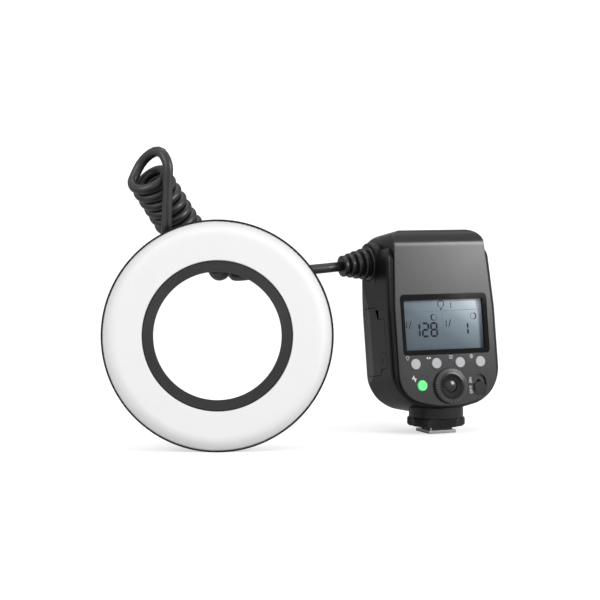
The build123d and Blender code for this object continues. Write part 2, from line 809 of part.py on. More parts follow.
def dial():
    """The knurled wheel: teeth round a bevelled rim, a dished face and a sleeve on the spindle."""
    front = BODY_FRONT_Y - DIAL_PROUD
    flange_front = PANEL_BACK_Y + GAP
    flange_back = flange_front + DIAL_FLANGE_T
    sleeve_back = BOARD_Y - ENCODER_T - GAP
    bore = SPINDLE_R + FIT
    wheel = spun(
        [
            (SET_R + GAP, front + DIAL_DISH),
            (DIAL_DISH_R + GAP, front + DIAL_DISH),
            (DIAL_FACE_R, front),
            (DIAL_R - DIAL_BEVEL / 2, front + DIAL_BEVEL / 2),
            (DIAL_R, front + DIAL_BEVEL),
            (DIAL_R, flange_front),
            (DIAL_R + DIAL_FLANGE, flange_front),
            (DIAL_R + DIAL_FLANGE, flange_back),
            (bore + SLEEVE_WALL, flange_back),
            (bore + SLEEVE_WALL, sleeve_back),
            (bore, sleeve_back),
            (bore, flange_front),
            (SET_R + GAP, flange_front),
        ]
    )
    groove_r = math.pi * DIAL_R / DIAL_TEETH / 2
    cutter = extrude(
        Plane.YZ.offset(DIAL_FACE_R + DIAL_BEVEL)
        * Polygon((-groove_r, 0), (groove_r, 0), (0, DIAL_TOOTH_DEPTH + DIAL_BEVEL), align=None),
        amount=DIAL_R,
    )
    grooves = Pos(0, 0, front) * PolarLocations(0, DIAL_TEETH) * cutter
    wheel -= grooves
    return Pos(DIAL_X, 0, DIAL_Z) * Rot(-90, 0, 0) * wheel


def dial_encoder():
    """The rotary encoder: a base on the board and the spindle that the dial turns on."""
    back = BOARD_Y
    base = pin_y(DIAL_X, DIAL_Z, ENCODER_R, back - ENCODER_T, back)
    base += pin_y(DIAL_X, DIAL_Z, SPINDLE_R, PANEL_BACK_Y + 2 * GAP, back)
    return base - pin_y(DIAL_X, DIAL_Z, SET_R + GAP / 2, BODY_FRONT_Y, back + OVERRUN)


def set_button():
    """The button in the middle of the dial, its stem inside the spindle."""
    front = BODY_FRONT_Y - SET_PROUD
    back = BOARD_Y - SET_SWITCH_T - KEY_TRAVEL - GAP / 2
    button = pin_y(DIAL_X, DIAL_Z, SET_R, front, back)
    return fillet(button.edges().group_by(Axis.Y)[0], KEY_EDGE_R)


def power_switch():
    """The slider in its oval recess, at the lower end of its travel."""
    z = SWITCH_Z - SWITCH_TRAVEL / 2
    floor = BODY_FRONT_Y + SWITCH_DEPTH - GAP / 2
    top = BODY_FRONT_Y - SLIDER_PROUD
    slider = pin_y(SWITCH_X, z, SWITCH_R - SEAM, top, floor)
    half = SWITCH_R - 2 * SEAM
    groove = slab(Pos(SWITCH_X, z + half) * Rectangle(2 * SWITCH_R, half), top - OVERRUN, BODY_FRONT_Y)
    low_groove = slab(Pos(SWITCH_X, z - half) * Rectangle(2 * SWITCH_R, half), top - OVERRUN, BODY_FRONT_Y)
    slider -= groove + low_groove
    ridge = slab(Pos(SWITCH_X, z) * Rectangle(2 * half, SLIDER_RIDGE), top - SLIDER_PROUD, top)
    stem = slab(Pos(SWITCH_X, z) * Circle(SLIDER_STEM / 2), floor, BOARD_Y - SWITCH_BODY_T - GAP)
    return slider + ridge + stem


def switch_module():
    """The slide switch on the board behind the power switch."""
    return slab(Pos(SWITCH_X, SWITCH_Z) * Rectangle(SWITCH_BODY_W, SWITCH_BODY_H), BOARD_Y - SWITCH_BODY_T, BOARD_Y)


def main_board():
    """The upper board, with its larger chips."""
    middle = (MAIN_BOARD_Z0 + MAIN_BOARD_Z1) / 2
    half = (MAIN_BOARD_Z1 - MAIN_BOARD_Z0) / 2
    board = slab(Pos(0, middle) * RectangleRounded(MAIN_BOARD_W, 2 * half, LCD_R), BOARD_Y, BOARD_BACK_Y)
    for x, z in [(-MAIN_BOARD_W / 4, middle + half / 2), (MAIN_BOARD_W / 6, middle + half / 2), (0, middle - half / 4)]:
        board += slab(Pos(x, z) * Rectangle(CHIP_W, CHIP_W), BOARD_Y - CHIP_T, BOARD_Y)
    return board


def transformer():
    """The step-up transformer on the back of the main board: two flanges and a winding."""
    x0 = TRANSFORMER_X - TRANSFORMER_W / 2
    x1 = TRANSFORMER_X + TRANSFORMER_W / 2
    y1 = BOARD_BACK_Y + TRANSFORMER_D
    z0 = TRANSFORMER_Z - TRANSFORMER_H / 2
    z1 = TRANSFORMER_Z + TRANSFORMER_H / 2
    solid = block(x0, x0 + BOBBIN_T, BOARD_BACK_Y, y1, z0, z1)
    solid += block(x1 - BOBBIN_T, x1, BOARD_BACK_Y, y1, z0, z1)
    radius = TRANSFORMER_H / 2 - BOBBIN_T / 2
    return solid + bar(Pos((BOARD_BACK_Y + y1) / 2, TRANSFORMER_Z) * Circle(radius), x0, x1)


def flash_capacitor():
    """The main capacitor, lying on the roof of the bay, with a rolled rim."""
    z = BATTERY_Z1 + GAP + BAY_WALL + CAPACITOR_R + GAP / 2
    x0 = CAPACITOR_X - CAPACITOR_LENGTH / 2
    neck = x0 + 4 * CAPACITOR_RIM
    can = spun(
        [
            (0, x0),
            (CAPACITOR_R, x0),
            (CAPACITOR_R, neck - CAPACITOR_RIM),
            (CAPACITOR_R - CAPACITOR_RIM, neck),
            (CAPACITOR_R, neck + CAPACITOR_RIM),
            (CAPACITOR_R, x0 + CAPACITOR_LENGTH),
            (0, x0 + CAPACITOR_LENGTH),
        ]
    )
    return Pos(0, CAPACITOR_Y, z) * Rot(0, 90, 0) * can


def battery_case(outer):
    """The battery with its stepped end face, which is flush with the unit's side."""
    cell = block(BATTERY_X0, BATTERY_X1, BATTERY_Y0, BATTERY_Y1, BATTERY_Z0, BATTERY_Z1)
    cell = fillet(cell.edges().filter_by(Axis.X), BATTERY_R)
    face = outer & bar(face_outline(), -SIDE_X - OVERRUN, BATTERY_X0)
    solid = cell + face
    pocket = -SIDE_X + LATCH_T + LATCH_TRAVEL + SEAM
    solid -= bar(offset(latch_outline(), GAP) + offset(tongue_outline(), GAP), -SIDE_X - OVERRUN, pocket)
    for z in CONTACT_ZS:
        solid -= terminal(z, FIT)
    return solid


def terminal(z, grow):
    """One contact pad in the inner end of the battery."""
    middle = (BATTERY_Y0 + BATTERY_Y1) / 2
    half = CONTACT_W / 2 + GAP + grow
    return block(BATTERY_X1 - CONTACT_PAD - grow, BATTERY_X1, middle - half, middle + half, z - half, z + half)


def battery_latch(outer):
    """The catch: a plate flush with the face, finger ribs and a tongue at its front."""
    inner = -SIDE_X + LATCH_T
    plate = outer & bar(latch_outline() + tongue_outline(), -SIDE_X - OVERRUN, inner)
    middle = FACE_LOW_STEP_Z + LATCH_HEIGHT / 2
    for step in (-2, 0, 2):
        centre = middle + step * LATCH_R
        slot = Pos(FACE_FRONT_Y + LATCH_WIDTH / 2, centre) * Rectangle(LATCH_WIDTH / 2, LATCH_R)
        plate -= bar(slot, -SIDE_X - OVERRUN, -SIDE_X + LATCH_R / 2)
    return plate


def latch_spring():
    """The catch's leaf spring, a shallow bow between it and the bottom of its pocket."""
    z = FACE_LOW_STEP_Z + LATCH_HEIGHT / 2
    inner = -SIDE_X + LATCH_T + GAP / 2
    far = inner + LATCH_TRAVEL
    y0 = FACE_FRONT_Y + LATCH_R + GAP
    y1 = FACE_FRONT_Y + LATCH_WIDTH - LATCH_R
    middle = (y0 + y1) / 2
    bow = Polyline((far, y0), (inner + GAP, middle), (far, y1))
    strip = make_face(offset(bow, GAP / 2, side=Side.BOTH).edges())
    return column(strip, z - LATCH_TONGUE_H / 2, z + LATCH_TONGUE_H / 2)


def port_cover(outer):
    """The rubber flap over the sockets, with a grip edge and a plug behind it."""
    flap = outer & bar(port_outline(), SIDE_X - PORT_T, SIDE_X + OVERRUN)
    grip = Pos(PORT_Y0 + PORT_R, (PORT_Z0 + PORT_Z1) / 2) * SlotCenterToCenter(USB_H, PORT_R / 2, rotation=90)
    return flap - bar(grip, SIDE_X - GAP, SIDE_X + OVERRUN)


def socket_block():
    """The sync jack and the charging socket in one moulding."""
    body = bar(offset(port_outline(), -SOCKET_INSET - GAP), SOCKET_X0, SIDE_X - PORT_T - 2 * GAP)
    face = SIDE_X - PORT_T
    middle = (PORT_Y0 + PORT_Y1) / 2
    body -= bar(Pos(middle, JACK_Z) * Circle(JACK_R), face - SOCKET_DEPTH, face)
    slot = Pos(middle, USB_Z) * SlotCenterToCenter(USB_H - USB_W, USB_W, rotation=90)
    return body - bar(slot, face - SOCKET_DEPTH, face)


def ribbed(length, base, tip, ribs, waist, plug_r, plug_length):
    """A strain relief along +Z: stepped ribs from a wide base to a narrow tip, and a plug below."""
    pitch = length / ribs
    points = [(0, -plug_length), (plug_r, -plug_length), (plug_r, 0)]
    for i in range(ribs):
        radius = base + (tip - base) * i / (ribs - 1)
        points.append((radius, i * pitch))
        points.append((radius, (i + BOOT_RIB_SHARE) * pitch))
        if i < ribs - 1:
            points.append((radius - waist, (i + BOOT_RIB_SHARE) * pitch))
            points.append((radius - waist, (i + 1) * pitch))
    points.append((0, (ribs - 1 + BOOT_RIB_SHARE) * pitch))
    return spun(points)


def boot_place():
    """The frame of the unit's boot."""
    return BODY * boot_seat()


def boot_length():
    """From the root of the boot to the face that the cord leaves."""
    pitch = (BOOT_X0 - BOOT_X1) / BOOT_RIBS
    return (BOOT_RIBS - 1 + BOOT_RIB_SHARE) * pitch


def cable_boot():
    """The ribbed boot on the unit."""
    length = BOOT_X0 - BOOT_X1
    return ribbed(length, BOOT_BASE_R, BOOT_TIP_R, BOOT_RIBS, BOOT_WAIST, BOOT_PLUG_R, BOOT_PLUG_LENGTH)


def case_screws():
    """Four screws through the rear cover, with hexagon sockets."""
    group = []
    for x, z in screw_places():
        head_y = BODY_BACK_Y - SCREW_HEAD_T
        screw = pin_y(x, z, SCREW_R, SPLIT_Y - SCREW_LENGTH + OVERRUN, head_y)
        screw += pin_y(x, z, SCREW_HEAD_R, head_y, BODY_BACK_Y - GAP)
        socket = slab(Pos(x, z) * RegularPolygon(SOCKET_R, 6), head_y, BODY_BACK_Y)
        group.append(screw - socket)
    return Compound(group)


def bay_contacts():
    """The sprung contacts in the end wall of the bay."""
    return Compound([contact(z, 0) for z in CONTACT_ZS])


def battery_terminals():
    """The pads in the end of the battery."""
    return Compound([terminal(z, 0) for z in CONTACT_ZS])


# Foot
def pedestal(outer):
    """The round neck, cut to the underside of the body."""
    neck = pin_z(0, 0, NECK_R, NECK_Z, NECK_TOP_Z)
    return neck - Rot(-LEAN, 0, 0) * outer


def lock_ring():
    """The clamp ring: six ribbed grips with scallops between them."""
    ring = pin_z(0, 0, LOCK_R, LOCK_Z0, LOCK_Z1)
    ring = chamfer(ring.edges().group_by(Axis.Z)[0] + ring.edges().group_by(Axis.Z)[-1], LOCK_BEVEL)
    step = 360 / LOCK_LOBES
    half_gap = math.radians(step - LOBE_ANGLE) / 2
    chord = LOCK_R * math.sin(half_gap)
    scallop_r = (chord**2 + SCALLOP_DEPTH**2) / (2 * SCALLOP_DEPTH)
    for i in range(LOCK_LOBES):
        x, y = on_ring(LOCK_R * math.cos(half_gap) + scallop_r - SCALLOP_DEPTH, -90 + (i + 0.5) * step)
        ring -= pin_z(x, y, scallop_r, LOCK_Z0 - OVERRUN, LOCK_Z1 + OVERRUN)
        for k in range(RIB_COUNT - 1):
            angle = -90 + i * step + (k - (RIB_COUNT - 2) / 2) * RIB_PITCH_ANGLE
            x, y = on_ring(LOCK_R + RIB_R / 3, angle)
            ring -= column(Pos(x, y) * Rot(0, 0, angle) * Rectangle(2 * RIB_R, RIB_R), LOCK_Z0, LOCK_Z1)
    return ring - pin_z(0, 0, LOCK_BORE_R, LOCK_Z0 - OVERRUN, LOCK_Z1 + OVERRUN)


def foot_block():
    """The black block: between the shoe's rails, round where the clamp ring turns on it."""
    base = column(RectangleRounded(BLOCK_WIDTH, BLOCK_LENGTH, BLOCK_R), FOOT_T, LOCK_Z0 - GAP)
    hub = pin_z(0, 0, LOCK_BORE_R - FIT, LOCK_Z0 - GAP, NECK_Z)
    insert = column(Rectangle(INSERT_W, INSERT_L), INSERT_STEP, FOOT_T)
    solid = base + hub + insert
    for x, y in contact_places():
        solid -= pin_z(x, y, CONTACT_R + FIT, 0, CONTACT_DEPTH + INSERT_STEP)
    for x, y in foot_screw_places():
        solid -= pin_z(x, y, FOOT_SCREW_R + GAP / 2, 0, FOOT_SCREW_LENGTH + GAP)
    return solid - pin_space()


def pin_space():
    """The bore of the lock pin and the room for its head."""
    bore = pin_z(0, PIN_Y, PIN_R + FIT, -OVERRUN, PIN_TOP_Z)
    head_low = PIN_TOP_Z - PIN_HEAD_T - PIN_TRAVEL - GAP
    return bore + pin_z(0, PIN_Y, PIN_HEAD_R + GAP, head_low, PIN_TOP_Z + GAP)


def lock_pin():
    """The pin that drops into the camera's shoe as the ring is turned."""
    pin = pin_z(0, PIN_Y, PIN_R, PIN_BASE_Z, PIN_TOP_Z)
    return pin + pin_z(0, PIN_Y, PIN_HEAD_R, PIN_TOP_Z - PIN_HEAD_T, PIN_TOP_Z)


def contact_places():
    """The centre contact and four more round it."""
    near = [(x, y) for x in (-CONTACT_PITCH, CONTACT_PITCH) for y in (-CONTACT_PITCH / 2, CONTACT_PITCH)]
    return [(0, 0)] + near


def foot_screw_places():
    """The screws of the foot plate."""
    return [(x, y) for x in (-FOOT_SCREW_X, FOOT_SCREW_X) for y in (-FOOT_SCREW_Y, FOOT_SCREW_Y)]


def shoe_contacts():
    """The contacts in the insert, just short of the foot's underside."""
    low = INSERT_STEP / 2
    high = CONTACT_DEPTH + INSERT_STEP
    return Compound([pin_z(x, y, CONTACT_R, low, high) for x, y in contact_places()])


def foot_plate():
    """The bright metal foot, with a window for the insert and countersunk screws."""
    plate = column(RectangleRounded(FOOT_WIDTH, FOOT_LENGTH, FOOT_R), 0, FOOT_T)
    plate -= column(Rectangle(INSERT_W + GAP, INSERT_L + GAP), -OVERRUN, FOOT_T + OVERRUN)
    plate -= pin_z(0, PIN_Y, PIN_R + GAP, -OVERRUN, FOOT_T + OVERRUN)
    for x, y in foot_screw_places():
        plate -= Pos(x, y) * foot_screw_solid(GAP / 2)
    return plate


def foot_screw_solid(grow):
    """A countersunk screw, head down, or the hole that it needs."""
    head = FOOT_SCREW_HEAD_R + grow
    shank = FOOT_SCREW_R + grow
    low = GAP / 2 - grow
    return spun([(0, low), (head, low), (shank, low + FOOT_T / 2), (shank, FOOT_SCREW_LENGTH), (0, FOOT_SCREW_LENGTH)])


def foot_screws():
    """Four countersunk screws."""
    return Compound([Pos(x, y) * foot_screw_solid(0) for x, y in foot_screw_places()])


# Ring head
def wall_r(depth):
    """The ring's outer radius at a depth behind its front: it tapers so as to lie on the floor."""
    return RING_R - (depth - RING_RIM_H) * math.tan(math.radians(RING_LEAN))


def ring_shell():
    """The rear housing: a tapered wall with a thin rim, and a back with a round edge."""
    inner = CONE_BORE_R + CONE_T + GAP
    back = RING_DEPTH
    section = rounded(
        [
            (inner, -back, 0),
            (wall_r(back), -back, RING_BACK_R),
            (RING_R, -RING_RIM_H, 0),
            (RING_R - RING_LIP, -RING_RIM_H, 0),
            (RING_R - RING_LIP - GAP, -DIFFUSER_SKIRT_H - GAP, 0),
            (wall_r(back) - RING_WALL, -DIFFUSER_SKIRT_H - RING_WALL - GAP, 0),
            (wall_r(back) - RING_WALL, -back + RING_WALL, RING_WALL),
            (inner, -back + RING_WALL, 0),
        ]
    )
    shell = revolve(Plane.XZ * section, Axis.Z)
    for x, y in ring_screw_places():
        shell += pin_z(x, y, RING_SCREW_BOSS_R, -back + RING_WALL, -RING_DEPTH / 2)
    for x, y in ring_screw_places():
        shell -= pin_z(x, y, RING_SCREW_R + GAP / 2, -back - OVERRUN, -back + RING_WALL + RING_SCREW_LENGTH)
        shell -= pin_z(x, y, RING_SCREW_HEAD_R + GAP, -back - OVERRUN, -back + RING_SCREW_HEAD_T)
    return shell


def ring_screw_places():
    """The screws round the back of the ring."""
    return [on_ring(RING_SCREW_PITCH_R, angle) for angle in RING_SCREW_ANGLES]


def ring_screws():
    """Screws from the back of the ring."""
    group = []
    back = -RING_DEPTH
    for x, y in ring_screw_places():
        screw = pin_z(x, y, RING_SCREW_R, back + GAP, back + RING_WALL + RING_SCREW_LENGTH - GAP)
        screw += pin_z(x, y, RING_SCREW_HEAD_R, back + GAP / 2, back + RING_SCREW_HEAD_T - GAP / 2)
        screw -= column(Pos(x, y) * RegularPolygon(SOCKET_R, 6), back, back + RING_SCREW_HEAD_T - GAP)
        group.append(screw)
    return Compound(group)


def diffuser():
    """The white front: flat, then rounded down to a skirt inside the rim."""
    outer = RING_R - RING_LIP - GAP
    inner = CONE_FRONT_R + GAP
    skirt = -DIFFUSER_SKIRT_H
    section = rounded(
        [
            (inner, 0, EDGE_R),
            (DIFFUSER_FLAT_R, 0, DIFFUSER_SHOULDER_R),
            (outer, -DIFFUSER_BEVEL_H, DIFFUSER_BEVEL_H / 2),
            (outer, skirt, 0),
            (outer - DIFFUSER_T, skirt, 0),
            (outer - DIFFUSER_T, -DIFFUSER_BEVEL_H - DIFFUSER_T / 2, 0),
            (DIFFUSER_FLAT_R - DIFFUSER_T / 2, -DIFFUSER_T, 0),
            (inner, -DIFFUSER_T, 0),
        ]
    )
    return revolve(Plane.XZ * section, Axis.Z)


def inner_cone():
    """The dark cone between the front and the bore, ending in a straight land."""
    land = -RING_DEPTH + CONE_LAND
    section = rounded(
        [
            (CONE_FRONT_R - CONE_T / 2, 0 - CONE_LIP_H, 0),
            (CONE_BORE_R, land, CONE_T),
            (CONE_BORE_R, -RING_DEPTH - GAP, 0),
            (CONE_BORE_R + CONE_T, -RING_DEPTH - GAP, 0),
            (CONE_BORE_R + CONE_T, land + CONE_T, 0),
            (CONE_FRONT_R, -DIFFUSER_T - GAP, 0),
            (CONE_FRONT_R, -CONE_LIP_H, 0),
        ]
    )
    return revolve(Plane.XZ * section, Axis.Z)


def reflector(middle):
    """The bright trough behind one flash tube: sloping walls and a floor on the housing's back."""
    floor = -RING_DEPTH + RING_WALL + GAP
    top = -REFLECTOR_H
    middle_r = (REFLECTOR_R0 + REFLECTOR_R1) / 2
    half = (REFLECTOR_R1 - REFLECTOR_R0) / 2
    low = half * REFLECTOR_SHARE
    section = Polygon(
        (middle_r - half, top),
        (middle_r - low, floor),
        (middle_r + low, floor),
        (middle_r + half, top),
        (middle_r + half - REFLECTOR_T, top),
        (middle_r + low - REFLECTOR_T, floor + REFLECTOR_T),
        (middle_r - low + REFLECTOR_T, floor + REFLECTOR_T),
        (middle_r - half + REFLECTOR_T, top),
        align=None,
    )
    start = middle - REFLECTOR_SWEEP / 2
    return Rot(0, 0, start) * revolve(Plane.XZ * section, Axis.Z, revolution_arc=REFLECTOR_SWEEP)


def flash_tube(middle):
    """One curved xenon tube."""
    start = middle - TUBE_SWEEP / 2
    section = Pos(TUBE_RING_R, -TUBE_H) * Circle(TUBE_R)
    return Rot(0, 0, start) * revolve(Plane.XZ * section, Axis.Z, revolution_arc=TUBE_SWEEP)


def tube_holders():
    """The four end blocks that carry the tubes."""
    group = []
    floor = -RING_DEPTH + RING_WALL + GAP / 2
    for angle in HOLDER_ANGLES:
        holder = Rot(0, 0, angle) * block(
            TUBE_RING_R - HOLDER_D / 2,
            TUBE_RING_R + HOLDER_D / 2,
            -HOLDER_W / 2,
            HOLDER_W / 2,
            floor,
            -TUBE_H + TUBE_R + REFLECTOR_T,
        )
        for middle in (0, 180):
            holder -= Rot(0, 0, middle - TUBE_SWEEP / 2) * revolve(
                Plane.XZ * (Pos(TUBE_RING_R, -TUBE_H) * Circle(TUBE_R + GAP / 2)),
                Axis.Z,
                revolution_arc=TUBE_SWEEP + GAP,
            )
        group.append(holder)
    return Compound(group)


def led_boards():
    """Two small boards between the tubes' ends, each on two posts."""
    group = []
    for middle in (90, 270):
        board = arc_band(LED_BOARD_R0, LED_BOARD_R1, middle, LED_BOARD_SWEEP, -LED_BOARD_H - BOARD_T, -LED_BOARD_H)
        for side in (-1, 1):
            x, y = on_ring(LED_BOARD_R0 + LED_POST_R * 2, middle + side * LED_POST_ANGLE)
            board += pin_z(x, y, LED_POST_R, -RING_DEPTH + RING_WALL + GAP / 2, -LED_BOARD_H - BOARD_T / 2)
        group.append(board)
    return Compound(group)


def led_chips():
    """Three focusing lamps on each board."""
    group = []
    for middle in (90, 270):
        for i in range(LED_COUNT):
            angle = middle + (i - (LED_COUNT - 1) / 2) * LED_STEP_ANGLE
            x, y = on_ring((LED_BOARD_R0 + LED_BOARD_R1) / 2, angle)
            chip = column(Pos(x, y) * Rot(0, 0, angle) * Rectangle(LED_SIZE, LED_SIZE), -LED_BOARD_H, -LED_BOARD_H + LED_T)
            group.append(chip)
    return Compound(group)


COLLAR_FRONT = -RING_DEPTH
COLLAR_BACK = -RING_DEPTH - COLLAR_DEPTH
PLATE_TOP = COLLAR_FRONT - PLATE_GAP
POCKET_BACK = PLATE_TOP - 2 * PLATE_T - 2 * PLATE_GAP


def mount_collar():
    """The rear collar: a seat for the lens adapter and a pocket for the two latch plates."""
    collar = pin_z(0, 0, COLLAR_R, COLLAR_BACK, COLLAR_FRONT - FIT)
    collar -= pin_z(0, 0, SEAT_R, COLLAR_BACK - OVERRUN, COLLAR_FRONT)
    collar -= pin_z(0, 0, COLLAR_R - COLLAR_WALL, POCKET_BACK, COLLAR_FRONT)
    half = ARM_WIDTH / 2 + GAP
    collar -= block(-PAD_R, PAD_R, -half, half, POCKET_BACK, COLLAR_FRONT)
    edges = collar.edges().group_by(Axis.Z)[0].sort_by(SortBy.RADIUS)
    return chamfer(edges[-1], EDGE_R)


def release_plate(side, level):
    """A latch plate: a ring with a claw on the far side and an arm to its thumb pad."""
    top = PLATE_TOP - level * (PLATE_T + PLATE_GAP)
    low = top - PLATE_T
    bore = PLATE_BORE_R
    plate = pin_z(0, 0, PLATE_R, low, top) - pin_z(0, 0, bore, low - OVERRUN, top + OVERRUN)
    plate += arc_band(CLAW_R, PLATE_R - EDGE_R, 90 - side * 90, CLAW_SWEEP, low, top)
    reach = PAD_R - PAD_LENGTH / 2
    x0, x1 = sorted((-side * (bore + EDGE_R), -side * reach))
    arm = block(x0, x1, -ARM_WIDTH / 2, ARM_WIDTH / 2, low, top)
    plate += arm - pin_z(0, 0, bore, low - OVERRUN, top + OVERRUN)
    return plate + thumb_pad(side, top)


def thumb_pad(side, top):
    """The pad outside the collar, ridged across the thumb."""
    back = COLLAR_BACK - PAD_PROUD
    x0, x1 = sorted((-side * (PAD_R - PAD_LENGTH), -side * PAD_R))
    pad = block(x0, x1, -PAD_WIDTH / 2, PAD_WIDTH / 2, back, PLATE_TOP)
    pad = fillet(pad.edges().filter_by(Axis.Z), PAD_EDGE_R)
    step = PAD_LENGTH / (PAD_RIDGES + 1)
    for i in range(PAD_RIDGES):
        x = x0 + (i + 1) * step
        pad -= block(
            x - PAD_RIDGE / 2, x + PAD_RIDGE / 2, -PAD_WIDTH, PAD_WIDTH, back - OVERRUN, back + PAD_RIDGE
        )
    return pad


def release_springs(side, level):
    """Two leaf springs between a latch plate's rim and the collar's wall, at its claw's side."""
    top = PLATE_TOP - level * (PLATE_T + PLATE_GAP)
    wall = COLLAR_R - COLLAR_WALL - GAP
    group = []
    for turn in (-LEAF_ANGLE, LEAF_ANGLE):
        middle = 90 + side * 90 + turn
        ends = [on_ring(wall - LEAF_T, middle - LEAF_SWEEP / 2), on_ring(wall - LEAF_T, middle + LEAF_SWEEP / 2)]
        crest = on_ring(PLATE_R + LEAF_T, middle)
        leaf = make_face(offset(ThreePointArc(ends[0], crest, ends[1]), LEAF_T / 2, side=Side.BOTH).edges())
        group.append(column(leaf, top - PLATE_T, top))
    return Compound(group)


def ring_boot_seat():
    """The place of the ring's boot in the ring's frame: upright, leaning a little to the right."""
    lean = Rot(0, 0, -RING_BOOT_TILT) * Rot(RING_LEAN - 90, 0, 0)
    return Pos(RING_BOOT_X, RING_BOOT_Y, -RING_BOOT_H) * lean


def gland():
    """The block on the back of the ring that the cord's boot stands on."""
    front = RING_DEPTH - RING_BOOT_H - RING_WALL / 2
    solid = block(-GLAND_WIDTH / 2, GLAND_WIDTH / 2, front, GLAND_DEPTH / 2, -GLAND_LENGTH, 0)
    solid = fillet(solid.edges().filter_by(Axis.Z).group_by(Axis.Y)[-1], GLAND_R)
    clear = pin_z(0, 0, COLLAR_R + GAP, -RING_DEPTH - 2 * GLAND_DEPTH, -RING_DEPTH)
    return ring_boot_seat() * solid - clear


def ring_boot():
    """The small ribbed boot on the back of the ring."""
    return ribbed(
        RING_BOOT_LENGTH, RING_BOOT_BASE_R, RING_BOOT_TIP_R, RING_BOOT_RIBS, RING_BOOT_WAIST, CORD_R, GAP
    )


def ring_boot_place():
    """The frame of the ring's boot."""
    return RING * ring_boot_seat() * Pos(0, 0, GAP)


# Cord
def unit_vector(v):
    """A vector of length one."""
    length = math.sqrt(sum(c * c for c in v))
    return tuple(c / length for c in v)


def plus(a, b, share):
    """a and a share of b, added."""
    return tuple(x + share * y for x, y in zip(a, b))


def coil_axis(distance):
    """The point of the coil's axis at a distance along it, smooth through COIL_AXIS."""
    points = COIL_AXIS
    spans = [math.dist(a, b) for a, b in zip(points, points[1:])]
    index = 0
    while index < len(spans) - 1 and distance > spans[index]:
        distance -= spans[index]
        index += 1
    t = distance / spans[index]
    before = points[max(index - 1, 0)]
    after = points[min(index + 2, len(points) - 1)]
    a, b = points[index], points[index + 1]
    tangents = []
    for low, middle, high in ((before, a, b), (a, b, after)):
        direction = unit_vector([h - l for l, h in zip(low, high)])
        tangents.append([c * spans[index] for c in direction])
    h00 = 2 * t**3 - 3 * t**2 + 1
    h10 = t**3 - 2 * t**2 + t
    h01 = 3 * t**2 - 2 * t**3
    h11 = t**3 - t**2
    return tuple(h00 * p + h10 * u + h01 * q + h11 * v for p, u, q, v in zip(a, tangents[0], b, tangents[1]))


def coil_point(turns):
    """The point of the left-handed winding after a number of turns."""
    whole = min(int(turns), len(COIL_PITCHES) - 1)
    distance = sum(COIL_PITCHES[:whole]) + (turns - whole) * COIL_PITCHES[whole]
    centre = coil_axis(distance)
    ahead = coil_axis(distance + CORD_R / 10)
    d = unit_vector([h - l for l, h in zip(centre, ahead)])
    e1 = unit_vector((d[1], -d[0], 0))
    e2 = (e1[1] * d[2], -e1[0] * d[2], e1[0] * d[1] - e1[1] * d[0])
    angle = math.radians(COIL_START_ANGLE) + 2 * math.pi * turns
    across = COIL_R * math.cos(angle)
    rise = COIL_R * math.sin(angle)
    return tuple(c + across * u + rise * v for c, u, v in zip(centre, e1, e2))


def coil_knots():
    """Points and directions of the winding, four to a turn."""
    last = len(COIL_PITCHES) - 1 + ((COIL_END_ANGLE - COIL_START_ANGLE) % 360) / 360
    count = round(4 * last)
    knots = []
    step = 0.01
    for i in range(count + 1):
        turns = last * i / count
        behind = coil_point(turns - step if i else turns)
        ahead = coil_point(turns + step)
        knots.append((coil_point(turns), unit_vector([h - l for l, h in zip(behind, ahead)])))
    return knots


def biarc(start, start_direction, end, end_direction):
    """Two arcs that leave start and reach end in the given directions."""
    v = [b - a for a, b in zip(start, end)]
    t = [a + b for a, b in zip(start_direction, end_direction)]
    vt = sum(a * b for a, b in zip(v, t))
    vv = sum(a * a for a in v)
    closeness = 2 * (1 - sum(a * b for a, b in zip(start_direction, end_direction)))
    d = (math.sqrt(vt * vt + closeness * vv) - vt) / closeness
    joint = tuple((a + d * u + b - d * w) / 2 for a, u, b, w in zip(start, start_direction, end, end_direction))
    first = Edge.make_tangent_arc(Vector(start), Vector(start_direction), Vector(joint))
    second = Edge.make_tangent_arc(Vector(joint), first % 1, Vector(end))
    return [first, second]


def tube(edges, radius):
    """A round cord along joined edges."""
    path = Wire(edges)
    section = Plane(origin=path @ 0, z_dir=path % 0) * Circle(radius)
    return sweep(section, path=path)


def tail_ends():
    """Where the straight tail leaves the ring's boot, its direction, and its upper end."""
    place = ring_boot_place()
    length = (RING_BOOT_RIBS - 1 + BOOT_RIB_SHARE) * RING_BOOT_LENGTH / RING_BOOT_RIBS
    start = (place * Pos(0, 0, length)).position
    end = (place * Pos(0, 0, length + TAIL_LENGTH)).position
    return tuple(start), unit_vector(tuple(end - start)), tuple(end)


def lead_route():
    """The points of the lead: the end of the coil, a point before the boot, and the boot's face."""
    bend = boot_place() * Pos(0, 0, boot_length() + LEAD_RUN)
    face = boot_place() * Pos(0, 0, boot_length())
    return [LEAD_START, tuple(bend.position), tuple(face.position)]


def coil_edges():
    """The coil's path: a straight end, the loop over the tail, the turns, and the way out."""
    start, rise, top = tail_ends()
    leave, bend, face = lead_route()
    out = unit_vector([b - a for a, b in zip(leave, bend)])
    knots = [(plus(top, rise, 2 * CORD_R), rise)]
    knots += [(p, unit_vector(d)) for p, d in zip(LOOP_POINTS, LOOP_DIRECTIONS)]
    knots += coil_knots()
    knots.append((plus(leave, out, -2 * CORD_R), out))
    edges = [Edge.make_line(Vector(top), Vector(knots[0][0]))]
    for (a, u), (b, w) in zip(knots, knots[1:]):
        edges += biarc(a, u, b, w)
    edges.append(Edge.make_line(Vector(knots[-1][0]), Vector(leave)))
    return edges


